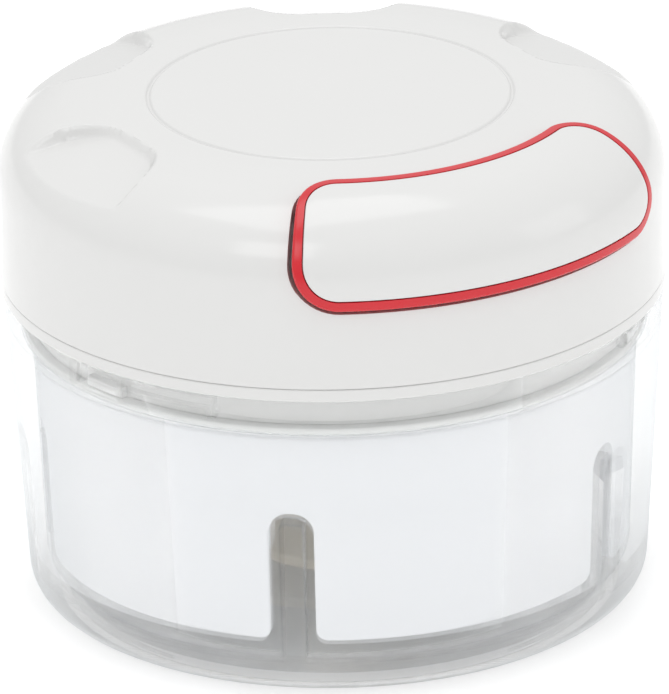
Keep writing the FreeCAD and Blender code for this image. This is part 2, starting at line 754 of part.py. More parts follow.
def make_eyelet():
    """Grommet through the back wall of the handle recess."""
    outer_end = lid_radius - recess_depth - gap * 3
    inner_end = lid_radius - recess_depth - wall - eyelet_wall
    tube = rod("eyelet_tube", cord_radius + eyelet_wall + gap / 2, inner_end, outer_end, cord_height)
    bore = rod("eyelet_bore", cord_radius + gap / 2, inner_end - gap, outer_end + gap, cord_height)
    return cut("cord_eyelet", tube, bore)


def make_cord_run():
    """Straight run of cord from the winding's tangent point to the eyelet."""
    mouth = number(lid_radius - recess_depth - wall)
    end = Vector(mouth - number(eyelet_wall) * 2, 0, number(cord_height))
    swing = math.acos(number(cord_line) / mouth)
    tangent = polar(cord_line, -math.degrees(swing), cord_height)
    along = (Vector(mouth, 0, number(cord_height)) - tangent).normalize()
    clear = math.sqrt(number(wound_radius + cord_radius + gap) ** 2 - number(cord_line) ** 2)
    start = tangent + along * clear
    return feature("cord_run", Part.makeCylinder(number(cord_radius), (end - start).Length, start, along))


# ---------------------------------------------------------------- reel and spring
def make_reel():
    """Cord reel: hollow drum with two flanges, a web and a bearing collar."""
    bore = spindle_radius + run_gap
    web_low = winding_top - flange_wall
    lower_flange = winding_low - flange_wall
    return turned("cord_reel", [
        (skirt_radius, drum_bottom),
        (drum_radius, drum_bottom),
        (drum_radius, lower_flange),
        (reel_flange, lower_flange),
        (reel_flange, winding_low),
        (drum_radius, winding_low),
        (drum_radius, winding_top),
        (reel_flange, winding_top),
        (reel_flange, reel_top),
        (bore, reel_top),
        (bore, winding_low),
        (bore + drum_wall, winding_low),
        (bore + drum_wall, web_low),
        (skirt_radius, web_low),
    ])


def make_ratchet():
    """Ring with saw teeth inside, pressed into the reel's drum."""
    owner = ring("ratchet_ring", ratchet_tip, skirt_radius, ratchet_bottom, ratchet_bottom + ratchet_height)
    drawing = sketch(owner, "XY_Plane", ratchet_bottom + ratchet_height)
    outline(drawing, [
        (ratchet_tip * TOOTH_FOOT, 0),
        (ratchet_root, 0),
        (ratchet_tip * TOOTH_BACK, ratchet_tip * TOOTH_SIDE),
    ])
    tooth = raised(owner, "Pocket", drawing, ratchet_height)
    pattern = around(owner, [tooth], int(number(ratchet_teeth)))
    pattern.setExpression("Occurrences", ratchet_teeth.text)
    doc.recompute()
    return owner


def make_spring():
    """Flat spiral spring: half turns on two centres, so the strip is one smooth line."""
    inner = number(drum_radius + gap)
    outer = number(cup_radius - cup_wall - run_gap)
    strip = number(spring_strip)
    halves = 2 * int(number(spring_turns))
    growth = (outer - strip - inner) / halves
    shift = growth / 2
    low = number(cup_floor + gap)
    near = []
    far = []
    for count in range(halves):
        radius = inner + shift + growth * count
        up = count % 2 == 0
        centre = Vector(-shift if up else shift, 0, low)
        sign = 1 if up else -1
        for edges, reach in ((near, radius), (far, radius + strip)):
            edges.append(Part.Arc(centre + Vector(sign * reach, 0, 0), centre + Vector(0, sign * reach, 0),
                                  centre + Vector(-sign * reach, 0, 0)).toShape())
    start = Part.makeLine(near[0].firstVertex().Point, far[0].firstVertex().Point)
    end = Part.makeLine(near[-1].lastVertex().Point, far[-1].lastVertex().Point)
    wire = Part.Wire(Part.__sortEdges__(near + far + [start, end]))
    return feature("recoil_spring", Part.Face(wire).extrude(Vector(0, 0, number(spring_height))))


def make_cup():
    """Cup that holds the recoil spring, and its flat cover."""
    bore = hub_radius + bush_wall + gap
    cup = turned("spring_cup", [
        (bore, plate_top),
        (cup_radius, plate_top),
        (cup_radius, cup_top),
        (cup_radius - cup_wall, cup_top),
        (cup_radius - cup_wall, cup_floor),
        (bore, cup_floor),
    ])
    cover = ring("spring_cover", drum_radius + gap * 2, cup_radius, cup_top, cup_top + sheet_steel)
    return cup, cover


# ---------------------------------------------------------------- hub and clutch
def make_hub():
    """Drive hub: socket with two keys below, clutch disc, and the spindle that carries the reel."""
    socket_top = hub_bottom + socket_length
    clip_low = reel_top + run_gap * 2 + washer_height
    clip_top = clip_low + clip_height
    owner = turned("drive_hub", [
        (0, socket_top),
        (hub_bore, socket_top),
        (hub_bore, hub_bottom),
        (hub_radius, hub_bottom),
        (hub_radius, disc_bottom),
        (hub_disc, disc_bottom),
        (hub_disc, disc_top),
        (spindle_radius, disc_top),
        (spindle_radius, clip_low),
        (spindle_radius - clip_groove, clip_low),
        (spindle_radius - clip_groove, clip_top),
        (spindle_radius, clip_top),
        (spindle_radius, clip_top + clip_height),
        (0, clip_top + clip_height),
    ])
    key = add_turned(owner, [
        (hub_bore - dog_key, hub_bottom + clip_height),
        (hub_bore + gap, hub_bottom + clip_height),
        (hub_bore + gap, socket_top + gap),
        (hub_bore - dog_key, socket_top + gap),
    ], fin_angle, 90)
    around(owner, [key], 2)
    return owner


def make_bush():
    """Flanged bearing bush pressed into the base plate."""
    bore = hub_radius + run_gap
    outer = hub_radius + bush_wall
    return turned("hub_bearing_bush", [
        (bore, seam_z - flange_wall),
        (outer + bush_wall, seam_z - flange_wall),
        (outer + bush_wall, seam_z),
        (outer, seam_z),
        (outer, disc_bottom - run_gap * 2),
        (bore, disc_bottom - run_gap * 2),
    ])


def pawl_centre():
    """Pivot of the first pawl."""
    return polar(pawl_pivot, PAWL_TURN, disc_top + gap / 2)


def make_pawl(label, turn):
    """A strut from its pivot to the steep face of a ratchet tooth."""
    centre = pawl_centre()
    eye = number(pawl_pin) * PAWL_EYE
    nose = Vector(number(ratchet_tip) * PAWL_NOSE, number(gap) * PAWL_LIFT, centre.z)
    heel = Vector(number(ratchet_tip) * PAWL_HEEL, number(gap) * PAWL_LIFT, centre.z)
    along = (nose - centre).normalize()
    across = Vector(-along.y, along.x, 0) * eye
    wire = Part.makePolygon([nose, centre + across, centre - across, heel, nose])
    height = Vector(0, 0, number(pawl_height))
    arm = Part.Face(wire).extrude(height)
    boss = Part.makeCylinder(eye, height.z, centre)
    bore = Part.makeCylinder(number(pawl_pin + run_gap), height.z, centre)
    made = feature(label, arm.fuse(boss).cut(bore).removeSplitter())
    made.Shape = made.Shape.copy()
    made.Placement = Placement(Vector(0, 0, 0), Rotation(UP, turn))
    return made


def make_clutch_pins():
    """Two steel pins that carry the pawls."""
    owner = body("pawl_pins")
    centre = polar(pawl_pivot, PAWL_TURN)
    drawing = owner.newObject("Sketcher::SketchObject", "pawl_pins_sketch")
    drawing.AttachmentSupport = [(plane_of(owner, "XY_Plane"), "")]
    drawing.MapMode = "FlatFace"
    drawing.AttachmentOffset = Placement(Vector(0, 0, 0), Rotation(UP, PAWL_TURN))
    drawing.setExpression("AttachmentOffset.Base.z", disc_top.text)
    item = drawing.addGeometry(Part.Circle(Vector(number(pawl_pivot), 0, 0), UP, number(pawl_pin)))
    hold(drawing, "DistanceX", item, 3, pawl_pivot)
    hold(drawing, "DistanceY", item, 3, 0)
    index = drawing.addConstraint(Sketcher.Constraint("Radius", item, number(pawl_pin)))
    drawing.setExpression("Constraints[" + str(index) + "]", pawl_pin.text)
    pin = raised(owner, "Pad", drawing, gap + pawl_height + gap * 2)
    around(owner, [pin], 2)
    return owner


def make_pawl_springs():
    """Small coil with a straight leg on top of each pawl."""
    pieces = []
    for turn in (0, 180):
        centre = pawl_centre() + Vector(0, 0, number(pawl_height + run_gap * 2))
        coil = Part.makeCylinder(number(pawl_pin) * COIL_OUTER, COIL_HEIGHT, centre)
        coil = coil.cut(Part.makeCylinder(number(pawl_pin + run_gap), COIL_HEIGHT, centre))
        leg = Part.makeBox(number(pawl_pin) * COIL_LEG, LEG_WIDTH, COIL_HEIGHT)
        beside = Placement(Vector(LEG_START, LEG_WIDTH, 0), Rotation())
        leg.Placement = Placement(centre, Rotation(UP, LEG_TURN)) * beside
        whole = coil.fuse(leg).removeSplitter()
        whole.rotate(Vector(0, 0, 0), UP, turn)
        pieces.append(whole)
    return feature("pawl_springs", Part.makeCompound(pieces))


def make_washer_and_clip():
    """Thrust washer and open circlip above the reel."""
    low = reel_top + run_gap
    washer = ring("thrust_washer", spindle_radius + run_gap, spindle_radius * WASHER_RATIO,
                  low, low + washer_height)
    clip_low = low + run_gap + washer_height
    clip = turned("hub_circlip", [
        (spindle_radius - clip_groove, clip_low),
        (spindle_radius * CLIP_RATIO, clip_low),
        (spindle_radius * CLIP_RATIO, clip_low + clip_height),
        (spindle_radius - clip_groove, clip_low + clip_height),
    ], fin_angle * 5)
    return washer, clip


# ---------------------------------------------------------------- cutter
def blade_height(step):
    """Underside of a blade above the foot."""
    return blade_first + blade_step * step


def make_blade(label, step, turn):
    """A scimitar blade with a square tang that is moulded into the shaft."""
    owner = body(label)
    drawing = sketch(owner, "XY_Plane", blade_height(step), turn)
    root = shaft_radius + gap
    outline(drawing, [
        (tang_end, -tang_width / 2),
        (root, -tang_width / 2),
        (root, -blade_width / 2, blade_bow, -1),
        (blade_reach, blade_sweep),
        (blade_reach - blade_tip, blade_sweep + blade_tip, blade_back, 1),
        (root, blade_width / 2),
        (root, tang_width / 2),
        (tang_end, tang_width / 2),
    ])
    raised(owner, "Pad", drawing, sheet_steel)
    return owner


def make_shaft():
    """Moulded cutter shaft: wide foot, cone, column, and two drive fins on top."""
    bore = pin_radius + run_gap + bush_sleeve
    bore_top = pin_length + boss_top + gap * 2
    cone_low = shaft_bottom + shaft_foot_height
    fin_top = hub_bottom + socket_length - gap * 2
    owner = turned("blade_shaft", [
        (0, bore_top),
        (bore, bore_top),
        (bore, shaft_bottom),
        (shaft_foot, shaft_bottom),
        (shaft_foot, cone_low),
        (shaft_radius, cone_low + shaft_foot_cone),
        (shaft_radius, shaft_top),
        (core_radius, shaft_top),
        (core_radius, fin_top),
        (0, fin_top),
    ])
    fin = add_turned(owner, [
        (core_radius - gap, shaft_top - gap),
        (fin_radius, shaft_top - gap),
        (fin_radius, fin_top),
        (core_radius - gap, fin_top),
    ], fin_angle, 0)
    around(owner, [fin], 2)
    for step, turn in enumerate(blade_turns):
        drawing = sketch(owner, "XY_Plane", blade_height(step) + sheet_steel, turn)
        outline(drawing, [
            (tang_end, -tang_width / 2),
            (shaft_radius + gap, -tang_width / 2),
            (shaft_radius + gap, tang_width / 2),
            (tang_end, tang_width / 2),
        ])
        raised(owner, "Pocket", drawing, sheet_steel)
    return owner


def make_pivot():
    """Steel pin in the bowl's boss and the bush that turns on it."""
    pin_low = floor_top - pin_depth
    pin = cylinder("bowl_pivot_pin", pin_radius, pin_low, boss_top + pin_length - pin_low)
    bush = ring("pivot_bush", pin_radius + run_gap, pin_radius + run_gap + bush_sleeve, shaft_bottom,
                shaft_bottom + pin_length)
    return pin, bush


# ---------------------------------------------------------------- the assembly
blade_turns = (20, 140, 260)

keep(make_bowl())
keep(make_sleeve())
pivot_pin, pivot_bush = make_pivot()
keep(pivot_pin)
keep(ring("lid_seal", spigot_radius + run_gap, socket_radius - gap, seal_bottom, seal_top))
keep(make_shell())
keep(make_base())
screws = keep(make_screws())
keep(make_eyelet())
keep(make_cord_run())
for made in make_cup():
    keep(made)
keep(make_spring())
keep(make_bush())
for made in make_handle():
    keep(made)
keep(make_reel())
keep(ring("cord_winding", drum_radius, wound_radius, winding_low + gap / 2, winding_top - gap / 2))
keep(make_ratchet())
keep(make_hub())
keep(make_clutch_pins())
keep(make_pawl_springs())
for made in make_washer_and_clip():
    keep(made)
keep(make_pawl("pawl_1", 0))
keep(make_pawl("pawl_2", 180))
keep(make_shaft())
for label, step in (("blade_lower", 0), ("blade_middle", 1), ("blade_upper", 2)):
    keep(make_blade(label, step, blade_turns[step]))
keep(pivot_bush)

screws.Label = "lid_screws"
screws.Placement = Placement(Vector(0, 0, 0), Rotation(UP, 60))
for made in nodes:
    made.Placement = FRONT.multiply(made.Placement)
knot_back = knot_floor() + gap / 3
keep(facing_rod("cord_stopper", knot_radius, knot_back, knot_floor() + knot_length, cord_height))
keep(facing_rod("pull_cord", cord_radius, lid_radius - recess_depth - wall / 2, knot_back, cord_height))
doc.recompute()

for item in doc.Objects:
    if "Invalid" in item.State or "Error" in item.State:
        raise RuntimeError(item.Label + " failed to build")
for made in nodes:
    shape = made.Shape
    if shape.isNull() or not shape.isValid() or shape.Volume <= 0:
        raise RuntimeError(made.Label + " has no valid solid")
    shape.exportStep("parts/" + made.Label + ".step")
    room = shape.optimalBoundingBox()
    print("%-18s %d solid, %9.1f mm3, z %.2f to %.2f" % (
        made.Label, len(shape.Solids), shape.Volume, room.ZMin, room.ZMax))
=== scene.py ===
# %% [markdown]
# A small hand-pulled chopper: a clear bowl with a white sleeve inside it, and a glossy domed lid with a
# red-edged pull handle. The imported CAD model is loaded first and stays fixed. Everything drawn here is put
# in the same place as the CAD piece that it stands for, so nothing has to be fitted afterwards.

# %% Load the frame
import json
import math

import bpy
import numpy as np
from mathutils import Matrix, Vector


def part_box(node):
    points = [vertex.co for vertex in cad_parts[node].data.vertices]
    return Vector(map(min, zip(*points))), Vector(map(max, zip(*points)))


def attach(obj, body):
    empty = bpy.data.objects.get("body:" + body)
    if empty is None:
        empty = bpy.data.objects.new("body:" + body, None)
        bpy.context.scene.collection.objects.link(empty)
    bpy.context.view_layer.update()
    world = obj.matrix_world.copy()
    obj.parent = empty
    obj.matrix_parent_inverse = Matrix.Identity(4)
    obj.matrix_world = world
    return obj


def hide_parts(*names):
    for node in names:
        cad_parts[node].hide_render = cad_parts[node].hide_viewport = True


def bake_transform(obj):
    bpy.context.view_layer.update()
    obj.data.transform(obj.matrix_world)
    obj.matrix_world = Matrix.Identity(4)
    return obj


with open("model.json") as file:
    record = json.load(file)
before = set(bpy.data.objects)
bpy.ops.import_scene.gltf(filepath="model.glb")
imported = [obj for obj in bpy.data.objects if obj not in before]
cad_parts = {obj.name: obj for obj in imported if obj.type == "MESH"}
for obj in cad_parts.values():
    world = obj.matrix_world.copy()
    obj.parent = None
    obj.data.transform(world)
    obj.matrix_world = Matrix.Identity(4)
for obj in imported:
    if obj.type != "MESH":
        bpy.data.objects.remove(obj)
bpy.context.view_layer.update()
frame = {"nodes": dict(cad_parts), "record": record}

MM = 0.001

# %% [markdown]
# Sizes come from the boxes of the CAD nodes. A round node's radius is the furthest that its box reaches
# from the upright axis along X or Y.

# %% Sizes read from the frame
def span(node):
    """Lowest and highest corner of a CAD node, in millimetres."""
    low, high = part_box(node)
    return np.array(low) / MM, np.array(high) / MM


def radius_of(node):
    """Outer radius of a round node about the upright axis, in millimetres."""
    low, high = span(node)
    return float(max(high[0], high[1], -low[0], -low[1]))


RIM_R = radius_of("bowl")
RIM_Z = float(span("bowl")[1][2])
LID_R = radius_of("lid_shell")
LID_LOW, LID_TOP = (float(corner[2]) for corner in span("lid_shell"))
SEAM_Z = float(RIM_Z + 0.2)
print("rim radius %.2f, rim height %.2f, lid radius %.2f, lid top %.2f" % (RIM_R, RIM_Z, LID_R, LID_TOP))

# %% [markdown]
# Every surface below is a grid of points worked out with numpy. These helpers turn a grid into a mesh:
# rows run one way and columns the other, the columns always close on themselves, and rows that shrink to
# a point are welded into a pole.

# %% Grid to mesh
def grid_faces(rows, columns, close_rows=False):
    """Quads between neighbouring rows and columns of a grid numbered row by row, columns closed."""
    row = np.arange(rows if close_rows else rows - 1)
    a, b = np.meshgrid(row, np.arange(columns), indexing="ij")
    after_a, after_b = (a + 1) % rows, (b + 1) % columns
    quads = np.stack([a * columns + b, a * columns + after_b, after_a * columns + after_b,
                      after_a * columns + b], axis=-1)
    return quads.reshape(-1, 4)


WELD_MM = 1e-4


def weld(points, quads):
    """Merge points that fall together, and drop the quads' corners that this doubles."""
    keys = np.round(points / WELD_MM).astype(np.int64)
    _, first, back = np.unique(keys, axis=0, return_index=True, return_inverse=True)
    quads = back.reshape(-1)[quads]
    same = quads == np.roll(quads, -1, axis=1)
    whole = quads[same.sum(axis=1) == 0]
    thin = quads[same.sum(axis=1) == 1]
    keep = ~same[same.sum(axis=1) == 1]
    triangles = thin[keep].reshape(-1, 3)
    return points[first], whole, triangles


def outward(points, quads, triangles):
    """Turn every face round if the closed surface holds a negative volume.

    Six times the volume is the sum over triangles of corner a dotted with (corner b crossed with corner c).
    """
    def signed(a, b, c):
        return np.einsum("ij,ij->", points[a], np.cross(points[b], points[c]))
    total = 0.0
    if len(quads):
        total += signed(quads[:, 0], quads[:, 1], quads[:, 2]) + signed(quads[:, 0], quads[:, 2], quads[:, 3])
    if len(triangles):
        total += signed(triangles[:, 0], triangles[:, 1], triangles[:, 2])
    return (quads, triangles) if total > 0 else (quads[:, ::-1], triangles[:, ::-1])


def mesh_of(name, parts):
    """A mesh from a list of (points, quads) closed surfaces in millimetres."""
    points, faces, count = [], [], 0
    for part_points, part_quads in parts:
        welded, quads, triangles = weld(part_points.reshape(-1, 3), part_quads)
        quads, triangles = outward(welded, quads, triangles)
        points.append(welded)
        faces += (quads + count).tolist() + (triangles + count).tolist()
        count += len(welded)
    mesh = bpy.data.meshes.new(name)
    mesh.from_pydata((np.concatenate(points) * MM).tolist(), [], faces)
    return mesh


def dress(name, mesh, body, replaces=(), sharp=38.0):
    """An object that shows a mesh, shaded smooth up to an angle, on its body, hiding the CAD parts it
    replaces.
    """
    mesh.name = name
    mesh.shade_smooth()
    mesh.set_sharp_from_angle(angle=math.radians(sharp))
    made = bpy.data.objects.new(name, mesh)
    bpy.context.collection.objects.link(made)
    if body:
        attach(made, body)
    if replaces:
        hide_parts(*replaces)
    print("%s: %d triangles" % (name, sum(len(face.vertices) - 2 for face in mesh.polygons)))
    return made


def build(name, parts, body, replaces=(), sharp=38.0):
    """One object from a list of (points, quads) closed surfaces in millimetres."""
    return dress(name, mesh_of(name, parts), body, replaces, sharp)


def combined(whole, extras, operation="UNION"):
    """Lists of closed surfaces: the first joined with the second into one, or cut by it.

    Surfaces that cross each other within the first list are joined too, so no wall is left inside.
    """
    made = []
    for parts in (whole, extras):
        made.append(bpy.data.objects.new("union", mesh_of("union", parts)))
        bpy.context.collection.objects.link(made[-1])
    join = made[0].modifiers.new("join", "BOOLEAN")
    join.operation, join.solver, join.object = operation, "EXACT", made[1]
    join.use_self = operation == "UNION" or len(whole) > 1
    result = bpy.data.meshes.new_from_object(made[0].evaluated_get(bpy.context.evaluated_depsgraph_get()))
    for old in made:
        bpy.data.objects.remove(old)
    return result


# %% [markdown]
# Most parts are turned: a closed outline of radius and height, with its corners rounded, is carried round
# the upright axis. Upright bars and slabs are outlines in plan, carried up instead.

# %% Turned shapes
def around(radius, height, angle):
    """Points at radii, heights and angles from the front, which faces -Y."""
    return np.stack([radius * np.sin(angle), -radius * np.cos(angle), height + 0.0 * angle], axis=-1)


NEARLY_STRAIGHT = math.radians(89.5)


def rounded(corners, steps=5):
    """A closed outline of (radius, height, rounding) corners, each rounding an arc tangent to both sides.

    With half the corner's angle h and rounding r, the arc's centre is r / sin(h) along the bisector and its
    ends are r / tan(h) along the sides. A corner that is nearly straight, or on the axis, stays a point.
    """
    plain = np.array([corner[:2] for corner in corners], float)
    path = []
    for here, corner in enumerate(corners):
        point = plain[here]
        before, after = plain[here - 1] - point, plain[(here + 1) % len(corners)] - point
        if corner[2] <= 0 or point[0] < 1e-6:
            path.append(point[None])
            continue
        before, after = before / np.linalg.norm(before), after / np.linalg.norm(after)
        half = 0.5 * math.acos(np.clip(before @ after, -1, 1))
        if half > NEARLY_STRAIGHT:
            path.append(point[None])
            continue
        centre = point + (before + after) / np.linalg.norm(before + after) * corner[2] / math.sin(half)
        start = point + before * corner[2] / math.tan(half) - centre
        end = point + after * corner[2] / math.tan(half) - centre
        mix = np.linspace(0, 1, steps + 1)[:, None]
        arc = start * (1 - mix) + end * mix
        path.append(centre + arc / np.linalg.norm(arc, axis=1, keepdims=True) * corner[2])
    return np.concatenate(path)


def lathe(corners, turns=256, steps=5):
    """A closed outline turned about the upright axis."""
    path = rounded(corners, steps)
    angle = np.linspace(0, 2 * math.pi, turns, endpoint=False)
    points = around(path[:, :1], path[:, 1:], angle[None, :])
    return points, grid_faces(len(path), turns, close_rows=True)


def slab(outline, levels):
    """A closed outline in plan, carried up through (height, inset) levels and capped at both ends.

    The outline is a function of the inset that gives its points, so the ends can be rounded over.
    """
    rings = [np.concatenate([outline(inset), np.full((len(outline(0)), 1), height)], axis=1)
             for height, inset in levels]
    low = np.broadcast_to(rings[0].mean(axis=0), rings[0].shape)
    top = np.broadcast_to(rings[-1].mean(axis=0), rings[0].shape)
    points = np.stack([low] + rings + [top])
    return points, grid_faces(len(points), points.shape[1])


def bar(inner, outer, width, angle, rounding, steps=5):
    """Plan outline of an upright bar from one radius to another, at an angle from the front."""
    def outline(inset):
        corners = [(inner + inset, width / 2 - inset), (inner + inset, inset - width / 2),
                   (outer - inset, inset - width / 2), (outer - inset, width / 2 - inset)]
        centre = np.array([(inner + outer) / 2, 0.0])
        path = []
        for x, y in corners:
            out = np.sign(np.array([x, y]) - centre)
            turn = np.linspace(0, math.pi / 2, steps + 1)
            arc = np.stack([np.cos(turn), np.sin(turn)], axis=1) * rounding
            if out[0] * out[1] < 0:
                arc = arc[::-1]
            path.append(np.array([x, y]) - out * rounding + out * arc)
        flat = np.concatenate(path)
        return np.stack([flat[:, 0] * math.sin(angle) + flat[:, 1] * math.cos(angle),
                         flat[:, 1] * math.sin(angle) - flat[:, 0] * math.cos(angle)], axis=1)
    return outline


# %% [markdown]
# A moulded plastic has one base colour, but it never looks like one flat colour: the tool's surface leaves
# a faint orange peel, and handling leaves the gloss a little uneven. Each finish below starts from that.

# %% Colour and node helpers
MOTTLE_MM, WAVE_MM, WAVE_HEIGHT = 14.0, 9.0, 0.01
GLOSS_LOW, GLOSS_HIGH = 0.7, 1.4


def srgb(code):
    """An sRGB hex colour as linear RGBA: value / 12.92 near black, else ((value + 0.055) / 1.055) ** 2.4."""
    value = np.array([int(code[i:i + 2], 16) for i in (1, 3, 5)]) / 255.0
    linear = np.where(value <= 0.04045, value / 12.92, ((value + 0.055) / 1.055) ** 2.4)
    return (*linear.tolist(), 1.0)


def node(tree, kind, links=None, **settings):
    """Add a node. Settings that name an input set that input, others set the node; links feed inputs."""
    made = tree.nodes.new(kind)
    for name, value in settings.items():
        label = name.replace("_", " ")
        match = [socket for socket in made.inputs if socket.name.lower() == label.lower()]
        if match and not hasattr(made, name):
            match[0].default_value = value
        else:
            setattr(made, name, value)
    for name, source in (links or {}).items():
        tree.links.new(source, made.inputs[name])
    return made


def new_material(name):
    """An empty node material with an output, its tree and object coordinates in metres."""
    material = bpy.data.materials.new(name)
    material.use_nodes = True
    tree = material.node_tree
    tree.nodes.clear()
    place = node(tree, "ShaderNodeTexCoord").outputs["Object"]
    return material, tree, place


def close(tree, shader):
    """Send a shader to the material's output."""
    return node(tree, "ShaderNodeOutputMaterial", {"Surface": shader})


def moulded(name, colour, roughness, peel_mm, peel_height, swing=0.04, shade=0.02, glow=0.0, **extra):
    """Injection-moulded plastic: an even colour with a faint mottling, orange peel and uneven gloss.

    glow is the share of light that a thin wall lets through.
    """
    material, tree, place = new_material(name)
    fine = node(tree, "ShaderNodeTexNoise", {"Vector": place}, Scale=1.0 / (peel_mm * MM), Detail=2.0)
    broad = node(tree, "ShaderNodeTexNoise", {"Vector": place}, Scale=1.0 / (MOTTLE_MM * MM),
                 Detail=3.0)
    gloss = node(tree, "ShaderNodeMapRange", {"Value": broad.outputs["Fac"]})
    gloss.inputs["To Min"].default_value = roughness - swing
    gloss.inputs["To Max"].default_value = roughness + swing
    dark = node(tree, "ShaderNodeMix", {"Factor": broad.outputs["Fac"]}, data_type="RGBA")
    linear = np.array(srgb(colour))
    shades = {"A": linear, "B": linear * np.array([1 - shade] * 3 + [1])}
    for socket in dark.inputs:
        if socket.type == "RGBA":
            socket.default_value = tuple(shades[socket.name])
    bump = node(tree, "ShaderNodeBump", {"Height": fine.outputs["Fac"]}, Strength=1.0,
                Distance=peel_height * MM)
    tint = [item for item in dark.outputs if item.type == "RGBA"][0]
    shader = node(tree, "ShaderNodeBsdfPrincipled", {
        "Base Color": tint, "Roughness": gloss.outputs["Result"], "Normal": bump.outputs["Normal"]})
    for socket, value in extra.items():
        shader.inputs[socket.replace("_", " ")].default_value = value
    surface = shader.outputs["BSDF"]
    if glow:
        through = node(tree, "ShaderNodeBsdfTranslucent", Color=srgb(colour))
        mix = node(tree, "ShaderNodeMixShader", Fac=glow)
        tree.links.new(surface, mix.inputs[1])
        tree.links.new(through.outputs["BSDF"], mix.inputs[2])
        surface = mix.outputs["Shader"]
    close(tree, surface)
    return material


# ABS from a polished tool: opaque, with soft but clear highlights.
white_abs = moulded("white_abs_gloss", "#D4D4D3", 0.16, 1.1, 0.004, swing=0.03, shade=0.015, IOR=1.54)
# The same plastic in red, slightly less glossy and a little uneven in tone.
red_abs = moulded("red_abs_gloss", "#C80A1E", 0.2, 1.0, 0.004, shade=0.08, IOR=1.54)
# Thin polypropylene with a satin surface: milky, and some light comes through it.
sleeve_pp = moulded("white_polypropylene_satin", "#F8F9FB", 0.42, 0.8, 0.004, shade=0.015, glow=0.28,
                    IOR=1.49)
# Acetal, satin from the tool: warm, waxy and a little uneven in tone.
cream_pom = moulded("cream_acetal_satin", "#EFE7D8", 0.4, 0.7, 0.006, shade=0.06, IOR=1.48)
# Natural nylon, moulded and matt: greyish white without clear highlights.
nylon = moulded("natural_nylon_matte", "#D6D5CF", 0.52, 0.6, 0.008, shade=0.05, IOR=1.53)
# Silicone rubber: dull and smooth.
silicone = moulded("clear_silicone_seal", "#DCDDDC", 0.5, 0.5, 0.004, shade=0.03, IOR=1.41)
print("plastics:", [item.name for item in (white_abs, red_abs, sleeve_pp, cream_pom, nylon, silicone)])


# %% [markdown]
# Clear styrene plastic is drawn as a clear body with a real thickness, so its edges catch light where the
# wall turns. The faint waviness of a moulded wall is a very low bump. Most of each wall only tints what is
# behind it, and lamplight passes it almost unhindered. That tint turns grey where the wall is seen edge on:
# a painted shade standing in for the dark lines that refraction gives there.

# %% Clear plastic
CLEAR_PASS = (0.99, 0.992, 0.992, 1.0)
THIN_SHARE, EDGE_BLEND, EDGE_SHADE_START = 0.72, 0.35, 0.35


def clear_plastic(name, colour, ior, roughness):
    """Clear moulded plastic: a refracting body mixed with a thin tinting wall, its tint greyed edge on as
    painted shade, with a faint waviness.
    """
    material, tree, place = new_material(name)
    wave = node(tree, "ShaderNodeTexNoise", {"Vector": place}, Scale=1.0 / (WAVE_MM * MM), Detail=1.0)
    bump = node(tree, "ShaderNodeBump", {"Height": wave.outputs["Fac"]}, Strength=1.0,
                Distance=WAVE_HEIGHT * MM)
    gloss = node(tree, "ShaderNodeMapRange", {"Value": wave.outputs["Fac"]})
    gloss.inputs["To Min"].default_value = roughness * 0.6
    gloss.inputs["To Max"].default_value = roughness * 1.4
    shader = node(tree, "ShaderNodeBsdfPrincipled", {
        "Normal": bump.outputs["Normal"], "Roughness": gloss.outputs["Result"]},
        IOR=ior, Base_Color=srgb(colour))
    shader.inputs["Transmission Weight"].default_value = 1.0
    passing = node(tree, "ShaderNodeBsdfTransparent", Color=CLEAR_PASS)
    grazing = node(tree, "ShaderNodeLayerWeight", {"Normal": bump.outputs["Normal"]}, Blend=EDGE_BLEND)
    # Painted shade: the thin wall's tint greys towards edge-on views, in place of the dark lines of
    # refraction.
    edge = node(tree, "ShaderNodeValToRGB", {"Fac": grazing.outputs["Facing"]})
    edge.color_ramp.elements[0].color = srgb("#FEFEFE")
    edge.color_ramp.elements[1].color = srgb("#E8EAEB")
    edge.color_ramp.elements[0].position = EDGE_SHADE_START
    thin = node(tree, "ShaderNodeBsdfTransparent", {"Color": edge.outputs["Color"]})
    body = node(tree, "ShaderNodeMixShader", Fac=THIN_SHARE)
    tree.links.new(shader.outputs["BSDF"], body.inputs[1])
    tree.links.new(thin.outputs["BSDF"], body.inputs[2])
    ray = node(tree, "ShaderNodeLightPath")
    surface = body.outputs["Shader"]
    for kind in ("Is Diffuse Ray", "Is Shadow Ray"):
        mix = node(tree, "ShaderNodeMixShader", {"Fac": ray.outputs[kind]})
        tree.links.new(surface, mix.inputs[1])
        tree.links.new(passing.outputs["BSDF"], mix.inputs[2])
        surface = mix.outputs["Shader"]
    close(tree, surface)
    return material


# Styrene acrylonitrile from a polished tool: glass clear, with bright edges.
clear_san = clear_plastic("clear_styrene_acrylonitrile", "#FBFDFD", 1.45, 0.02)


# %% [markdown]
# Metals show the lines of the tool that made them. A noise squeezed along one axis gives those lines, and
# drives both the roughness and a very slight bump.

# %% Metals
LINE_DEPTH = 0.003


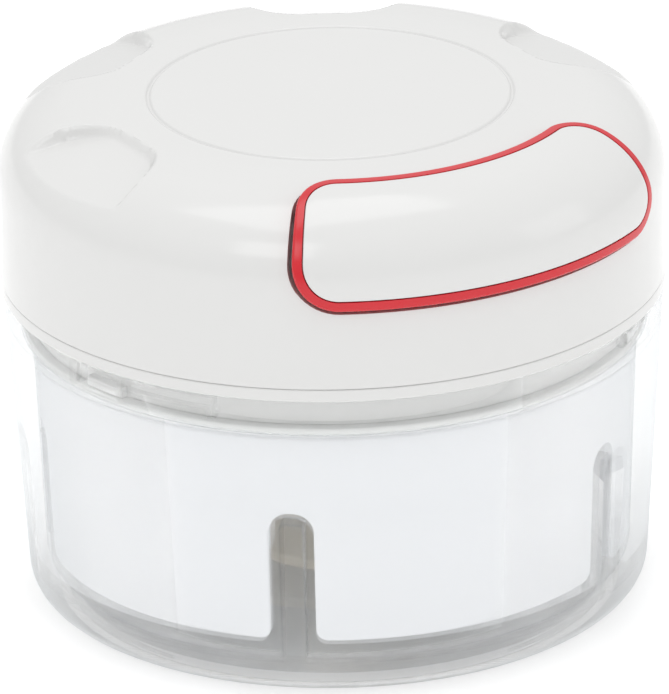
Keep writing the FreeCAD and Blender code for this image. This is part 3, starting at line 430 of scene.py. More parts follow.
def turned_metal(name, colour, roughness, line_mm, axis_scale):
    """Machined or brushed metal, its lines running across the axis with the largest scale."""
    material, tree, place = new_material(name)
    stretch = node(tree, "ShaderNodeMapping", {"Vector": place})
    stretch.inputs["Scale"].default_value = axis_scale
    lines = node(tree, "ShaderNodeTexNoise", {"Vector": stretch.outputs["Vector"]},
                 Scale=1.0 / (line_mm * MM), Detail=4.0)
    gloss = node(tree, "ShaderNodeMapRange", {"Value": lines.outputs["Fac"]})
    gloss.inputs["To Min"].default_value = roughness * GLOSS_LOW
    gloss.inputs["To Max"].default_value = roughness * GLOSS_HIGH
    bump = node(tree, "ShaderNodeBump", {"Height": lines.outputs["Fac"]}, Strength=0.6,
                Distance=LINE_DEPTH * MM)
    shader = node(tree, "ShaderNodeBsdfPrincipled", {
        "Roughness": gloss.outputs["Result"], "Normal": bump.outputs["Normal"]},
        Metallic=1.0, Base_Color=srgb(colour))
    close(tree, shader.outputs["BSDF"])
    return material


# Turned stainless: cool and bright, with fine rings. Ground blade: fine parallel lines, which run one way
# on all three blades. Blued spring: darker and bluish. Turned brass: warm yellow.
steel = turned_metal("turned_stainless_steel", "#C9CACC", 0.28, 0.3, (1, 1, 6))
blade_steel = turned_metal("brushed_stainless_blade", "#CFD1D3", 0.3, 0.5, (6, 1, 1))
spring_steel = turned_metal("blued_spring_steel", "#7E828A", 0.33, 0.4, (1, 1, 8))
brass = turned_metal("turned_brass", "#C9A458", 0.3, 0.3, (1, 1, 5))
print("metals:", steel.name, blade_steel.name, spring_steel.name, brass.name)

# %% [markdown]
# The cord is braided nylon: two sets of strands cross at 45 degrees each way. It is dull, and its valleys
# between the picks are painted darker: painted shade where the strands shadow each other.

# %% Cord finish
PICK_HEIGHT, VALLEY_SHADE = 0.12, 0.55


def braided(name, colour, pick_mm):
    """Braided nylon cord: the higher of two crossing diagonal waves makes the picks of the braid."""
    material, tree, place = new_material(name)
    heights = []
    for lean in (1, -1):
        turn = node(tree, "ShaderNodeMapping", {"Vector": place})
        turn.inputs["Rotation"].default_value = (0, 0, lean * math.radians(45))
        wave = node(tree, "ShaderNodeTexWave", {"Vector": turn.outputs["Vector"]}, Scale=0.5 / (pick_mm * MM),
                    Distortion=0.3)
        heights.append(wave.outputs["Fac"])
    weave = node(tree, "ShaderNodeMath", operation="MAXIMUM")
    tree.links.new(heights[0], weave.inputs[0])
    tree.links.new(heights[1], weave.inputs[1])
    bump = node(tree, "ShaderNodeBump", {"Height": weave.outputs["Value"]}, Strength=1.0,
                Distance=PICK_HEIGHT * MM)
    # Painted shade: the weave's valleys are coloured darker than its picks.
    ramp = node(tree, "ShaderNodeValToRGB", {"Fac": weave.outputs["Value"]})
    ramp.color_ramp.elements[0].color = tuple(np.array(srgb(colour)) * np.array([VALLEY_SHADE] * 3 + [1]))
    ramp.color_ramp.elements[1].color = srgb(colour)
    shader = node(tree, "ShaderNodeBsdfPrincipled", {
        "Base Color": ramp.outputs["Color"], "Normal": bump.outputs["Normal"]}, Roughness=0.75)
    close(tree, shader.outputs["BSDF"])
    return material


cord_nylon = braided("braided_nylon_cord", "#E9E7E1", 0.7)
print("cord:", cord_nylon.name)


# %% [markdown]
# The lid is one dome: an upright wall, a round shoulder and a flat top. A point on it is given by the angle
# round it and by the distance walked up the wall, over the shoulder and in across the top. Scoops and a
# ring groove are then pressed into that surface, so their edges stay part of one smooth sheet.

# %% Lid dome
SHOULDER = 11.0
FLAT_R = LID_R - SHOULDER
SHOULDER_Z = LID_TOP - SHOULDER
WALL_RUN = SHOULDER_Z - LID_LOW
ARC_RUN = SHOULDER * math.pi / 2
DOME_RUN = WALL_RUN + ARC_RUN + FLAT_R
EASED, EASED_WIDTH = 0.6, 7.0
EASED_AT = WALL_RUN + SHOULDER * math.radians(68)
print("walk up the wall %.2f, to the pole %.2f" % (WALL_RUN, DOME_RUN))


def dome(walk, offset=0.0):
    """Radius and height after a walk from the lid's lower edge, moved out along the surface normal.

    On the shoulder the radius is FLAT_R + SHOULDER * cos(bend) and the height SHOULDER_Z + SHOULDER *
    sin(bend). It is pressed in by EASED * exp(-((walk - EASED_AT) / EASED_WIDTH) ** 2), so that it runs
    softly into the top.
    """
    bend = np.clip((walk - WALL_RUN) / SHOULDER, 0, math.pi / 2)
    offset = offset - EASED * np.exp(-((walk - EASED_AT) / EASED_WIDTH) ** 2)
    radius = FLAT_R + SHOULDER * np.cos(bend) - np.clip(walk - WALL_RUN - ARC_RUN, 0, FLAT_R)
    height = SHOULDER_Z + SHOULDER * np.sin(bend) - np.clip(WALL_RUN - walk, 0, None)
    return radius + offset * np.cos(bend), height + offset * np.sin(bend)


def walk_at_height(height):
    """Walk at which the dome's side reaches a height."""
    if height <= SHOULDER_Z:
        return height - LID_LOW
    return WALL_RUN + SHOULDER * math.asin(min(1.0, (height - SHOULDER_Z) / SHOULDER))


def walk_at_radius(radius):
    """Walk at which the dome's top reaches a radius."""
    return WALL_RUN + ARC_RUN + FLAT_R - radius


def ease(value, low, high):
    """A smooth step from 0 to 1 between two values: step * step * (3 - 2 * step)."""
    step = np.clip((value - low) / (high - low), 0, 1)
    return step * step * (3 - 2 * step)


# %% [markdown]
# The handle's outline is a rounded box on the unrolled dome: across it is the angle times the lid's radius,
# and up it is the walk. The same box, a little larger, is the recess.

# %% Handle outline on the dome
HANDLE_HALF = math.radians(38.0)
HANDLE_LOW = walk_at_height(LID_TOP - 13.5)
HANDLE_HIGH = walk_at_radius(34.0)
HANDLE_ROUND = 6.5
print("handle outline from walk %.2f to %.2f" % (HANDLE_LOW, HANDLE_HIGH))


def outside_box(x, y, half_x, low_y, high_y, rounding):
    """Signed distance outside a rounded box, negative inside it."""
    mid, half_y = (low_y + high_y) / 2, (high_y - low_y) / 2
    over_x = np.abs(x) - half_x + rounding
    over_y = np.abs(y - mid) - half_y + rounding
    beyond = np.hypot(np.maximum(over_x, 0), np.maximum(over_y, 0))
    return beyond + np.minimum(np.maximum(over_x, over_y), 0) - rounding


# %% [markdown]
# Four finger scoops, a fine ring groove and, on the inside, the hollow boss behind the handle's recess are
# pressed into the dome. A scoop is a plane that leans outward, kept inside a rounded box seen from above.

# %% Lid shell surface
SCOOP_TURNS = [math.radians(turn) for turn in (90, 150, 210, 270)]
SCOOP_REACH, SCOOP_HALF, SCOOP_ROUND, SCOOP_FLARE = 31.0, 11.5, 7.0, 0.32
SCOOP_START, SCOOP_SLOPE = 1.2, math.tan(math.radians(15.0))
GROOVE_R, GROOVE_HALF, GROOVE_DEPTH = 25.2, 0.45, 0.3
RECESS_DEPTH, RECESS_WALL = 4.0, 2.8
LID_WALL, SCOOP_FAR = 2.0, 60.0


def lid_surface(angle, walk, wall=0.0):
    """The pressed dome: the plain dome, less the groove and the four scoops; inside, less the recess too.

    A scoop lowers the height to LID_TOP - SCOOP_START - SCOOP_SLOPE * along, where along is the distance
    outward from SCOOP_REACH, inside a box that widens outward by SCOOP_FLARE. Its edge is an eased step.
    """
    radius, height = dome(walk)
    across = np.angle(np.exp(1j * angle)) * LID_R
    behind = outside_box(across, walk, HANDLE_HALF * LID_R + RECESS_WALL, HANDLE_LOW - RECESS_WALL,
                         HANDLE_HIGH + RECESS_WALL, HANDLE_ROUND + RECESS_WALL)
    sink = (RECESS_DEPTH * (1 - ease(behind, -0.5, 0.5)) + wall) * (wall > 0)
    groove = GROOVE_DEPTH * (1 - ease(np.abs(radius - GROOVE_R), 0.1, GROOVE_HALF)) * (wall == 0)
    radius, height = dome(walk, -(sink + groove))
    for turn in SCOOP_TURNS:
        along = radius * np.cos(angle - turn) - SCOOP_REACH
        side = radius * np.sin(angle - turn) / (1 + SCOOP_FLARE * (along - SCOOP_ROUND) / SCOOP_HALF)
        edge = outside_box(side, along, SCOOP_HALF, 0.0, SCOOP_FAR, SCOOP_ROUND)
        floor = LID_TOP - SCOOP_START - SCOOP_SLOPE * along - wall
        press = (1 - ease(edge, -0.9, 0.1)) * (np.cos(angle - turn) > 0)
        height = height - press * np.maximum(height - floor, 0)
    return around(radius, height, angle)


SHELL_TURNS = 840


def make_lid_shell():
    """Outer and inner skins of the lid shell, closed along its lower edge and at both poles.

    Rows of points stand close over the shoulder, the scoops and the groove, and wide apart elsewhere.
    """
    angle = np.linspace(0, 2 * math.pi, SHELL_TURNS, endpoint=False)[None, :]
    ring = walk_at_radius(GROOVE_R)
    outer = np.concatenate([
        np.array([0.0, 0.4, 4.0, 9.0]),
        np.linspace(walk_at_height(LID_TOP - 13.8), walk_at_radius(30.5), 64),
        np.linspace(walk_at_radius(29.5), ring - 1.5, 4),
        np.linspace(ring - 0.6, ring + 0.6, 9),
        np.linspace(ring + 3.0, DOME_RUN, 5)])
    inner = np.concatenate([np.linspace(DOME_RUN, HANDLE_HIGH + 4.0, 4),
                            np.linspace(HANDLE_HIGH + 3.0, HANDLE_LOW - 4.0, 26), np.array([0.0])])
    top = lid_surface(angle, outer[:, None])
    under = lid_surface(angle, inner[:, None], wall=LID_WALL)
    points = np.concatenate([top, under])
    return points, grid_faces(len(points), angle.shape[1], close_rows=True)


# %% [markdown]
# The handle is a thin red frame with a white face on it. Both follow the dome. Their outline is a rounded
# box drawn on the unrolled dome; rings of that outline, each a little further in, carry the rounded edge
# and then the gently crowned face.

# %% Handle patches
SEAT, RIM_DROP = 0.3, 0.04


def box_outline(half_x, low_y, high_y, rounding, inset, steps=14, straight=26):
    """Rounded-box outline moved in by an inset, with its straight sides divided too."""
    rounding = max(rounding - inset, 0.05)
    x, low, high = half_x - inset - rounding, low_y + inset + rounding, high_y - inset - rounding
    corners = ((x, low, -90), (x, high, 0), (-x, high, 90), (-x, low, 180))
    path = []
    for place, (cx, cy, start) in enumerate(corners):
        turn = np.radians(np.linspace(start, start + 90, steps))
        arc = np.stack([cx + rounding * np.cos(turn), cy + rounding * np.sin(turn)], axis=1)
        after = corners[(place + 1) % 4]
        begin = np.radians(after[2])
        target = np.array([after[0] + rounding * math.cos(begin), after[1] + rounding * math.sin(begin)])
        mix = np.linspace(0, 1, straight + 2)[1:-1, None]
        path += [arc, arc[-1] * (1 - mix) + target * mix]
    return np.concatenate(path)


def patch(half_angle, low, high, rounding, base, top, edge, crown, rings=16, border=0.0):
    """A closed plate on the dome: back, side wall, rounded edge and crowned face.

    The face stands out by top + crown * (1 - shrink ** 2), where shrink falls from 1 at the rim to 0 in the
    middle. A border leaves a raised rim of that width round a seat for another plate.
    """
    half_x = half_angle * LID_R
    centre = np.array([0.0, (low + high) / 2])
    turn = np.linspace(0, math.pi / 2, 7)
    layers = []
    flat = box_outline(half_x, low, high, rounding, 0.0)
    for shrink in np.linspace(0, 1, 6)[:-1]:
        layers.append((centre + (flat - centre) * shrink, base))
    layers.append((flat, base))
    for inset, lift in zip(edge * (1 - np.cos(turn)), edge * np.sin(turn)):
        layers.append((box_outline(half_x, low, high, rounding, inset), top - edge + lift))
    if border:
        rim = box_outline(half_x, low, high, rounding, border)
        layers += [(rim, top - RIM_DROP), (rim, SEAT)]
        top = SEAT
    rim = layers[-1][0]
    for shrink in np.linspace(1, 0, rings)[1:]:
        layers.append((centre + (rim - centre) * shrink, top + crown * (1 - shrink ** 2)))
    flat_points = np.stack([layer[0] for layer in layers])
    offset = np.stack([np.full(len(layer[0]), 1.0) * layer[1] for layer in layers])
    radius, height = dome(flat_points[..., 1], offset)
    points = around(radius, height, flat_points[..., 0] / LID_R)
    return points, grid_faces(len(layers), flat_points.shape[1])


def rod(radius, start, end, height, rings=2, turns=24):
    """A closed round bar that runs along Y in the middle plane."""
    reach = np.linspace(start, end, rings)[:, None]
    turn = np.linspace(0, 2 * math.pi, turns, endpoint=False)[None, :]
    loops = np.stack([radius * np.cos(turn) + 0 * reach, reach + 0 * turn,
                      height + radius * np.sin(turn) + 0 * reach], axis=-1)
    ends = [np.broadcast_to(loops[row].mean(axis=0), loops[row].shape)[None] for row in (0, -1)]
    points = np.concatenate([ends[0], loops, ends[1]])
    return points, grid_faces(len(points), turns)


# %% [markdown]
# The recess for the handle has crisp walls, so it is cut out of the dome as a solid, and so is the hole
# that the cord's eyelet sits in.

# %% Lid shell
GAP, RECESS_CLEAR, RECESS_EDGE = 0.7, 6.0, 0.01
CORD_LOW, CORD_HIGH = span("pull_cord")
CORD_Z = float((CORD_LOW[2] + CORD_HIGH[2]) / 2)
recess = patch(HANDLE_HALF + GAP / LID_R, HANDLE_LOW - GAP, HANDLE_HIGH + GAP, HANDLE_ROUND + GAP,
               -RECESS_DEPTH, RECESS_CLEAR, RECESS_EDGE, 0.0)
EYELET_HOLE_R, EYELET_FROM, EYELET_TO = 2.0, -30.0, -44.0
eyelet_hole = rod(EYELET_HOLE_R, EYELET_FROM, EYELET_TO, CORD_Z)
shell_mesh = combined([make_lid_shell()], [recess, eyelet_hole], "DIFFERENCE")
lid_shell = dress("lid_shell_dome", shell_mesh, "lid", ["lid_shell"], 40)
lid_shell.data.materials.append(white_abs)

# %% [markdown]
# The red frame fills the recess nearly to its floor and leaves a seat inside its raised border. The white
# face lies on that seat, with a hair's breadth between the two.

# %% Handle
FRAME_BACK, FRAME_TOP, FRAME_EDGE, BORDER = -3.7, 1.05, 0.45, 1.4
FACE_TOP, FACE_EDGE, FACE_CROWN, FACE_GAP = 1.0, 0.18, 0.25, 0.02
frame_plate = patch(HANDLE_HALF, HANDLE_LOW, HANDLE_HIGH, HANDLE_ROUND, FRAME_BACK, FRAME_TOP, FRAME_EDGE,
                    0.0, border=BORDER)
handle_frame = build("handle_frame_red", [frame_plate], "handle", ["handle_frame"])
handle_frame.data.materials.append(red_abs)

INSET = BORDER + 0.12
face_plate = patch(HANDLE_HALF - INSET / LID_R, HANDLE_LOW + INSET, HANDLE_HIGH - INSET, HANDLE_ROUND - INSET,
                   SEAT + FACE_GAP, FACE_TOP, FACE_EDGE, FACE_CROWN, rings=22)
handle_face = build("handle_face_white", [face_plate], "handle", ["handle_cover"])
handle_face.data.materials.append(white_abs)


# %% [markdown]
# The bowl is one turned outline: foot ring, thick floor, drafted wall, and a stepped rim that the lid plugs
# into. The five upright ribs, the three catches and their stops are moulded on its inside.

# %% Bowl
BASE_R = RIM_R - 2.7
SOCKET_R = RIM_R - 2.3
SHELF_Z = RIM_Z - 5.9
INNER_TOP = SOCKET_R - 1.5
INNER_LOW = INNER_TOP - 1.35
FLOOR_Z = 4.0
RIB_TURNS = [math.radians(-40 + 72 * step) for step in range(5)]
LOCK_TURNS = [math.radians(-78 + 120 * step) for step in range(3)]
FOOT_R, FOOT_Z = 37.7, 1.2
BOSS_R, PIN_R = 4.2, 1.5
RIB_WIDTH, RIB_ROUND, RIB_TOP = 3.4, 0.6, 25.0
LUG_LOW, LUG_HIGH = RIM_Z - 4.6, 1.5
CATCH_SPAN, STOP_SPANS = (6.0, 24.0), ((-7.4, -6.0), (23.3, 24.7))
print("bowl base radius %.2f, shelf height %.2f" % (BASE_R, SHELF_Z))


def arc_block(inner, outer, low, top, start, end, round_by=0.25, steps=24):
    """A block between two radii and two angles, its section a rounded box, its ends capped."""
    section = rounded([(inner, low, round_by), (outer, low, round_by), (outer, top, round_by),
                       (inner, top, round_by)], 3)
    angle = np.linspace(start, end, steps)[:, None]
    points = around(section[None, :, 0], section[None, :, 1], angle)
    middle = section.mean(axis=0)
    caps = [np.broadcast_to(around(middle[0], middle[1], np.array(turn)), points[0].shape)
            for turn in (start, end)]
    points = np.concatenate([caps[0][None], points, caps[1][None]])
    return points, grid_faces(len(points), len(section))


def make_bowl():
    """Turned bowl, then its ribs, catches and stops: for each lock, one catch between two taller stops."""
    wall = lathe([
        (0, FOOT_Z, 0), (FOOT_R, FOOT_Z, 0.4), (FOOT_R, 0, 0.3), (BASE_R - 4.0, 0, 0.5),
        (BASE_R - 0.1, 0.6, 4.2),
        (RIM_R, RIM_Z, 0.7), (SOCKET_R, RIM_Z, 0.5), (SOCKET_R, SHELF_Z, 0.3), (INNER_TOP, SHELF_Z, 0.3),
        (INNER_LOW, FLOOR_Z, 2.4), (BOSS_R, FLOOR_Z, 0.5), (BOSS_R, FLOOR_Z + 1.0, 0.3),
        (PIN_R, FLOOR_Z + 1.0, 0), (PIN_R, 1.8, 0), (0, 1.8, 0)], turns=384, steps=8)
    ribs = [slab(bar(INNER_LOW - 2.5, INNER_TOP - 0.3, RIB_WIDTH, turn, RIB_ROUND),
                 [(FLOOR_Z - 0.2, 0.0), (RIB_TOP - 0.6, 0.0), (RIB_TOP - 0.2, 0.15), (RIB_TOP, 0.5)])
            for turn in RIB_TURNS]
    catch_low = LUG_LOW + LUG_HIGH + 0.3
    stop_low = SHELF_Z + 1.5
    locks = []
    for turn in LOCK_TURNS:
        spans = [(*CATCH_SPAN, catch_low)] + [(*stop, stop_low) for stop in STOP_SPANS]
        for start, end, low in spans:
            locks.append(arc_block(SOCKET_R - 1.2, SOCKET_R + 0.3, low, catch_low + LUG_HIGH,
                                   turn + math.radians(start), turn + math.radians(end)))
    return [wall] + ribs + locks


bowl_parts = make_bowl()
bowl = dress("bowl_clear", combined(bowl_parts[:1], bowl_parts[1:]), "bowl", ["bowl"], 30)
bowl.data.materials.append(clear_san)

# %% [markdown]
# The white sleeve is a thin cone of five panels that meet above the ribs and leave an arched notch round
# each one. A panel's two edges follow the notch, so the arch needs no cutting: the half width of the notch
# is a function of height.

# %% Sleeve
SLEEVE_LOW, SLEEVE_TOP = (float(corner[2]) for corner in span("bowl_liner"))
SLOT_HALF, SLOT_TOP, SLOT_ARCH, SLOT_FOOT = 3.15, 26.6, 2.9, 1.6
SLEEVE_WALL, SLEEVE_GAP = 1.2, 0.25


def notch_half(height):
    """Half width of the notch at a height: flared foot, straight sides, quarter-round arch, then nought.

    Arch and foot each change the half width by radius * (1 - sqrt(1 - t ** 2)), with t from 0 to 1.
    """
    arch = SLOT_TOP - SLOT_ARCH
    above = np.clip((height - arch) / SLOT_ARCH, 0, 1)
    half = SLOT_HALF - SLOT_ARCH * (1 - np.sqrt(1 - above ** 2))
    foot = np.clip((SLEEVE_LOW + SLOT_FOOT - height) / SLOT_FOOT, 0, 1)
    half = half + SLOT_FOOT * (1 - np.sqrt(1 - foot ** 2))
    return np.where(height >= SLOT_TOP - 1e-6, 0.0, half)


def make_sleeve():
    """Five panels, each a closed loop round its own thickness at every height."""
    arch = SLOT_TOP - SLOT_ARCH
    bend = np.sin(np.linspace(0, math.pi / 2, 15))
    heights = np.concatenate([
        SLEEVE_LOW + SLOT_FOOT * (1 - np.cos(np.linspace(0, math.pi / 2, 9))),
        np.linspace(SLEEVE_LOW + SLOT_FOOT, arch, 12)[1:-1], arch + SLOT_ARCH * bend])
    heights[-1] = SLOT_TOP - 1e-3
    lean = (INNER_TOP - INNER_LOW) / (SHELF_Z - FLOOR_Z)

    def skin(height):
        return INNER_TOP - SLEEVE_GAP - lean * (SHELF_Z - height)
    pitch = math.radians(72)
    panels = []
    along = np.linspace(0, 1, 60)
    for turn in RIB_TURNS:
        shrink = notch_half(heights)[:, None] / skin(heights)[:, None]
        angle = turn + shrink + along[None, :] * (pitch - 2 * shrink)
        loops = []
        for depth, path in ((0.0, angle), (SLEEVE_WALL, angle[:, ::-1])):
            loops.append(around(skin(heights)[:, None] - depth, heights[:, None], path))
        ring = np.concatenate(loops, axis=1)
        caps = []
        for row in (0, -1):
            caps.append(np.concatenate([loops[0][row], loops[0][row][::-1]])[None])
        points = np.concatenate([caps[0], ring, caps[1]])
        panels.append((points, grid_faces(len(points), ring.shape[1])))
    low, high = skin(SLOT_TOP), skin(SLEEVE_TOP)
    band = lathe([(low - SLEEVE_WALL, SLOT_TOP, 0), (low, SLOT_TOP, 0), (high, SLEEVE_TOP, 0.3),
                  (high - SLEEVE_WALL, SLEEVE_TOP, 0.3)], turns=360)
    return panels + [band]


sleeve = build("bowl_sleeve_white", make_sleeve(), "bowl", ["bowl_liner"])
sleeve.data.materials.append(sleeve_pp)

# %% [markdown]
# The lid's base plate shows as the thin flange under the dome and, once the lid is lifted, as its whole
# underside: a plug skirt with three lugs, a seal ring, and holes that the screws' heads sit in.

# %% Lid base and seal
PLUG_R = SOCKET_R - 1.5
PLUG_WALL = 2.0
BUSH_HOLE = 8.5
SEAL_TOP = float(span("lid_seal")[1][2])
SEAL_LOW = SEAL_TOP - 1.0
RING_IN, RING_OUT, RING_TOP = 43.2, 44.2, 50.2
PLATE_TOP, FLANGE_R = LID_LOW - 0.1, LID_R - 0.05
SCREW_CIRCLE, SCREW_HOLE, SCREW_HEAD = 37.0, 2.45, 1.5
SCREW_LOW = float(span("lid_screws")[0][2])


def make_lid_base():
    """Turned base plate, its plug skirt down to the seal and its locating ring, with three lugs."""
    plate = lathe([
        (BUSH_HOLE, SEAM_Z, 0), (PLUG_R - PLUG_WALL, SEAM_Z, 0.6), (PLUG_R - PLUG_WALL, SEAL_LOW, 0.2),
        (PLUG_R - 1.0, SEAL_LOW, 0.1), (PLUG_R - 1.0, SEAL_TOP + 0.05, 0), (PLUG_R, SEAL_TOP + 0.05, 0.2),
        (PLUG_R, SEAM_Z, 0.3), (FLANGE_R, SEAM_Z, 0.35), (FLANGE_R, PLATE_TOP, 0.25),
        (RING_OUT, PLATE_TOP, 0), (RING_OUT, RING_TOP, 0.2), (RING_IN, RING_TOP, 0.2),
        (RING_IN, PLATE_TOP, 0), (BUSH_HOLE, PLATE_TOP, 0)], turns=384)
    lugs = [arc_block(PLUG_R - 0.3, SOCKET_R - 0.3, LUG_LOW, LUG_LOW + LUG_HIGH,
                      turn - math.radians(4.5), turn + math.radians(4.5)) for turn in LOCK_TURNS]
    return [plate] + lugs


def screw_hole(turn):
    """Round hole up into the base plate that a screw's head sits in."""
    centre = SCREW_CIRCLE * np.array([math.sin(turn), -math.cos(turn)])
    ring = np.linspace(0, 2 * math.pi, 32, endpoint=False)
    circle = np.stack([np.cos(ring), np.sin(ring)], axis=1)
    return slab(lambda inset: centre + (SCREW_HOLE - inset) * circle,
                [(SEAM_Z - 1.0, 0.0), (SCREW_LOW + SCREW_HEAD, 0.0)])


screw_holes = [screw_hole(math.radians(turn)) for turn in (30, 150, 270)]
base_mesh = combined(make_lid_base(), screw_holes, "DIFFERENCE")
lid_base = dress("lid_base_flange", base_mesh, "lid", ["lid_base"])
lid_base.data.materials.append(white_abs)

seal_ring = lathe([(PLUG_R - 0.95, SEAL_LOW, 0.2), (SOCKET_R - 0.3, SEAL_LOW, 0.3),
                   (SOCKET_R - 0.3, SEAL_TOP, 0.3), (PLUG_R - 0.95, SEAL_TOP, 0.2)], turns=320)
seal = build("lid_seal_ring", [seal_ring], "lid_seal", ["lid_seal"])
seal.data.materials.append(silicone)

# %% [markdown]
# The cutter is a moulded shaft with a wide foot, which three steel blades stand out from.

# %% Cutter shaft
FOOT_WIDE, STEM_R, NOSE_R, BORE_R = 12.5, 5.8, 3.4, 2.55
STEM_TOP, BORE_TOP, FIN_HALF = 41.4, 16.6, math.radians(15)


def make_shaft():
    """Turned shaft with a flared foot, a bore for the pin and two drive fins on its nose."""
    low, high = (float(corner[2]) for corner in span("blade_shaft"))
    body = lathe([
        (0, BORE_TOP, 0), (BORE_R, BORE_TOP, 0), (BORE_R, low, 0.2), (FOOT_WIDE, low, 0.5),
        (FOOT_WIDE, low + 1.6, 0.7), (STEM_R, low + 6.0, 2.5), (STEM_R, STEM_TOP, 0.6),
        (NOSE_R, STEM_TOP, 0.3), (NOSE_R, high, 0.5), (0, high, 0)], turns=160, steps=7)
    fins = [arc_block(NOSE_R - 0.3, 4.8, STEM_TOP - 0.3, high - 0.1, turn - FIN_HALF, turn + FIN_HALF)
            for turn in (0.0, math.pi)]
    return [body] + fins


shaft = build("blade_shaft_moulded", make_shaft(), "blades", ["blade_shaft"])
shaft.data.materials.append(cream_pom)


# %% [markdown]
# A blade lies between two arcs seen from above. Across it, the upper and lower faces close in on the
# leading arc, which gives the ground edge.

# %% Blades
LEAD_ARC, BACK_ARC = 34.0, 30.0
EDGE_HALF, THICKENING, GROUND = 0.06, 0.34, 0.34


def bowed(start, end, radius, bulge, along):
    """Points on an arc of a radius between two plan points, bulging to one side.

    The arc's centre is sqrt(radius ** 2 - half the chord ** 2) from the chord's middle, square to it.
    """
    half = (end - start) / 2
    reach = math.hypot(*half)
    side = np.array([-half[1], half[0]]) / reach * bulge
    centre = start + half - side * math.sqrt(radius ** 2 - reach ** 2)
    first = math.atan2(*(start - centre)[::-1])
    swing = math.remainder(math.atan2(*(end - centre)[::-1]) - first, 2 * math.pi)
    turn = first + along * swing
    return centre + radius * np.stack([np.cos(turn), np.sin(turn)], axis=-1)


def make_blade(height, turn):
    """Blade between two bowed edges, thinning to a ground edge on its leading side."""
    along = np.linspace(0, 1, 40)
    lead = bowed(np.array([5.4, -4.5]), np.array([35.5, 7.0]), LEAD_ARC, -1, along)
    back = bowed(np.array([5.4, 4.5]), np.array([32.5, 10.0]), BACK_ARC, 1, along)
    across = np.array([0.0, 0.08, 0.2, 0.32, 0.5, 0.75, 0.95, 1.0])
    thick = EDGE_HALF + THICKENING * ease(across, -0.05, GROUND)
    flat = lead[:, None] * (1 - across[None, :, None]) + back[:, None] * across[None, :, None]
    loop = np.concatenate([flat, flat[:, ::-1]], axis=1)
    rise = np.concatenate([thick, -thick[::-1]]) + height + EDGE_HALF + THICKENING
    # The front faces -Y: a plan point (forward, sideways) becomes (sideways, -forward).
    spin = np.array([[math.cos(turn), -math.sin(turn)], [math.sin(turn), math.cos(turn)]])
    plan = loop @ spin.T
    points = np.stack([plan[..., 1], -plan[..., 0], np.broadcast_to(rise, plan.shape[:2])], axis=-1)
    ends = [np.broadcast_to(points[row].mean(axis=0), points[row].shape)[None] for row in (0, -1)]
    points = np.concatenate([ends[0], points, ends[1]])
    return points, grid_faces(len(points), loop.shape[1])


for step, blade_node in enumerate(("blade_lower", "blade_middle", "blade_upper")):
    low, high = span(blade_node)
    blade = build(blade_node + "_ground", [make_blade(float(low[2]), math.radians(20 + 120 * step))],
                  "blades", [blade_node], sharp=25)
    blade.data.materials.append(blade_steel)

# %% [markdown]
# The pull cord is a straight line from the eyelet in the lid to the knot in the handle. At rest only a few
# millimetres of it are there.

# %% Pull cord
CORD_R = float(CORD_HIGH[2] - CORD_LOW[2]) / 2
cord_tube = rod(CORD_R, float(CORD_HIGH[1]), float(CORD_LOW[1]), CORD_Z, rings=48)
cord = build("pull_cord_braided", [cord_tube], None, ["pull_cord"], sharp=60)
cord.data.materials.append(cord_nylon)
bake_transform(cord)

# %% [markdown]
# The rest of the mechanism keeps its CAD shape and only gets its finish.

# %% Finishes of the CAD pieces that stay
FINISHES = {
    "steel": steel, "spring_steel": spring_steel, "blade_steel": blade_steel, "brass": brass, "nylon": nylon,
    "cream_plastic": cream_pom, "cord": cord_nylon, "white_lid": white_abs, "white_sleeve": sleeve_pp,
    "seal": silicone, "red_frame": red_abs, "clear_bowl": clear_san}
for part in frame["record"]["subparts"]:
    kept = frame["nodes"][part["node"]]
    if kept.type == "MESH":
        kept.data.materials.clear()
        kept.data.materials.append(FINISHES[part["material_slot"]])

# %% [markdown]
# A pale table that glows a little, a bright even surround and three soft lamps give a white setting. The
# table's glow lifts the clear base, and the lamps put gentle highlights on the shoulder.

# %% Floor
def make_floor():
    """A wide round floor just under the foot."""
    radius = np.array([0.0, 200.0, 2000.0, 6000.0])[:, None]
    turn = np.linspace(0, 2 * math.pi, 64, endpoint=False)[None, :]
    points = around(radius, np.zeros_like(radius), turn)
    welded, quads, triangles = weld(points.reshape(-1, 3), grid_faces(len(radius), turn.size))
    mesh = bpy.data.meshes.new("floor")
    mesh.from_pydata((welded * MM).tolist(), [], quads.tolist() + triangles.tolist())
    made = bpy.data.objects.new("floor", mesh)
    bpy.context.collection.objects.link(made)
    return made


floor = make_floor()
WHITE = (1.0, 1.0, 1.0, 1.0)
TABLE_GLOW = 0.13
floor.data.materials.append(moulded("lit_table_sweep", "#FFFFFF", 0.7, 0.4, 0.002, shade=0.004,
                                    Emission_Color=WHITE, Emission_Strength=TABLE_GLOW))

# %% [markdown]
# The surround is a little dimmer at the horizon than overhead. The lamps are wide and soft.

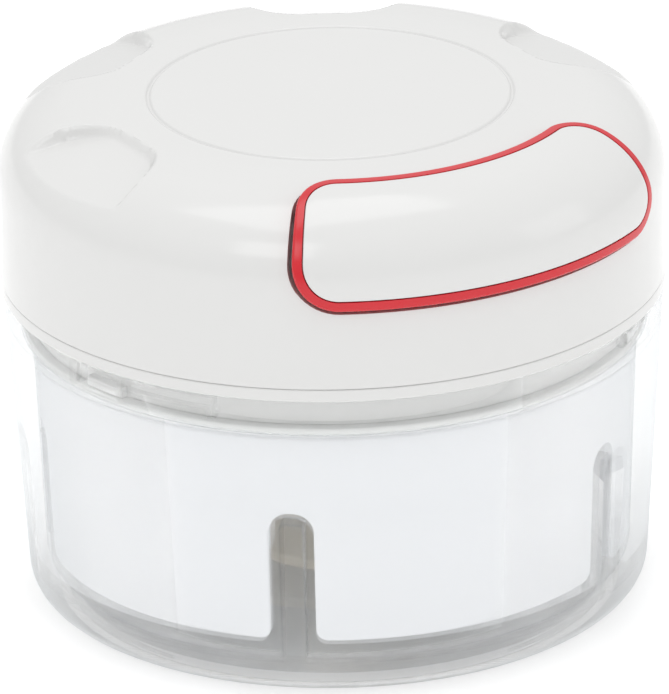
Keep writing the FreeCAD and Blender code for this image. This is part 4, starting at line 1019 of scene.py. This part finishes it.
# %% World and lamps
HORIZON, ZENITH = 0.72, 1.2
world = bpy.data.worlds.new("studio")
bpy.context.scene.world = world
world.use_nodes = True
sky = world.node_tree
height = node(sky, "ShaderNodeSeparateXYZ", {"Vector": node(sky, "ShaderNodeTexCoord").outputs["Generated"]})
strength = node(sky, "ShaderNodeMapRange", {"Value": height.outputs["Z"]})
strength.inputs["To Min"].default_value = HORIZON
strength.inputs["To Max"].default_value = ZENITH
sky.links.new(strength.outputs["Result"], sky.nodes["Background"].inputs["Strength"])
sky.nodes["Background"].inputs["Color"].default_value = WHITE


def lamp(name, place, aim, size, power):
    """A rectangular soft lamp at a place in millimetres, aimed at a point."""
    light = bpy.data.lights.new(name, "AREA")
    light.shape = "RECTANGLE"
    light.size, light.size_y = size[0] * MM, size[1] * MM
    light.energy = power
    made = bpy.data.objects.new(name, light)
    made.location = Vector(place) * MM
    made.rotation_euler = (Vector(aim) - Vector(place)).to_track_quat("-Z", "Y").to_euler()
    bpy.context.collection.objects.link(made)
    return made


TARGET = (0.0, 0.0, 33.6)
lamp("key", (-420, -300, 520), TARGET, (260, 260), 0.35)
lamp("fill", (480, -420, 260), TARGET, (300, 300), 0.2)
lamp("top", (0, 60, 600), TARGET, (400, 300), 0.5)
print("lamps:", len(bpy.data.lights))

# %% [markdown]
# The camera stands well back with a long lens, to the left of the front and a little above, with a slight
# roll. Its distance is in millimetres, and its shifts are shares of the frame's longer side.

# %% Camera
AZIMUTH, ELEVATION, ROLL = math.radians(-31.0), math.radians(22.66), math.radians(1.07)
DISTANCE, SENSOR, LENS = 1500.0, 36.0, 557.351585
SHIFT_X, SHIFT_Y = -0.00072046, 0.00461095
back = Vector((math.sin(AZIMUTH) * math.cos(ELEVATION), -math.cos(AZIMUTH) * math.cos(ELEVATION),
               math.sin(ELEVATION)))
camera_data = bpy.data.cameras.new("camera")
camera_data.sensor_fit = "AUTO"
camera_data.sensor_width = SENSOR
camera_data.lens = LENS
camera_data.clip_end = 50.0
camera_data.shift_x, camera_data.shift_y = SHIFT_X, SHIFT_Y
camera = bpy.data.objects.new("camera", camera_data)
bpy.context.collection.objects.link(camera)
facing = back.to_track_quat("Z", "Y").to_matrix().to_4x4()
camera.matrix_world = (Matrix.Translation((Vector(TARGET) + back * DISTANCE) * MM) @ facing
                       @ Matrix.Rotation(-ROLL, 4, "Z"))
bpy.context.scene.camera = camera
bpy.context.scene.view_settings.view_transform = "Standard"
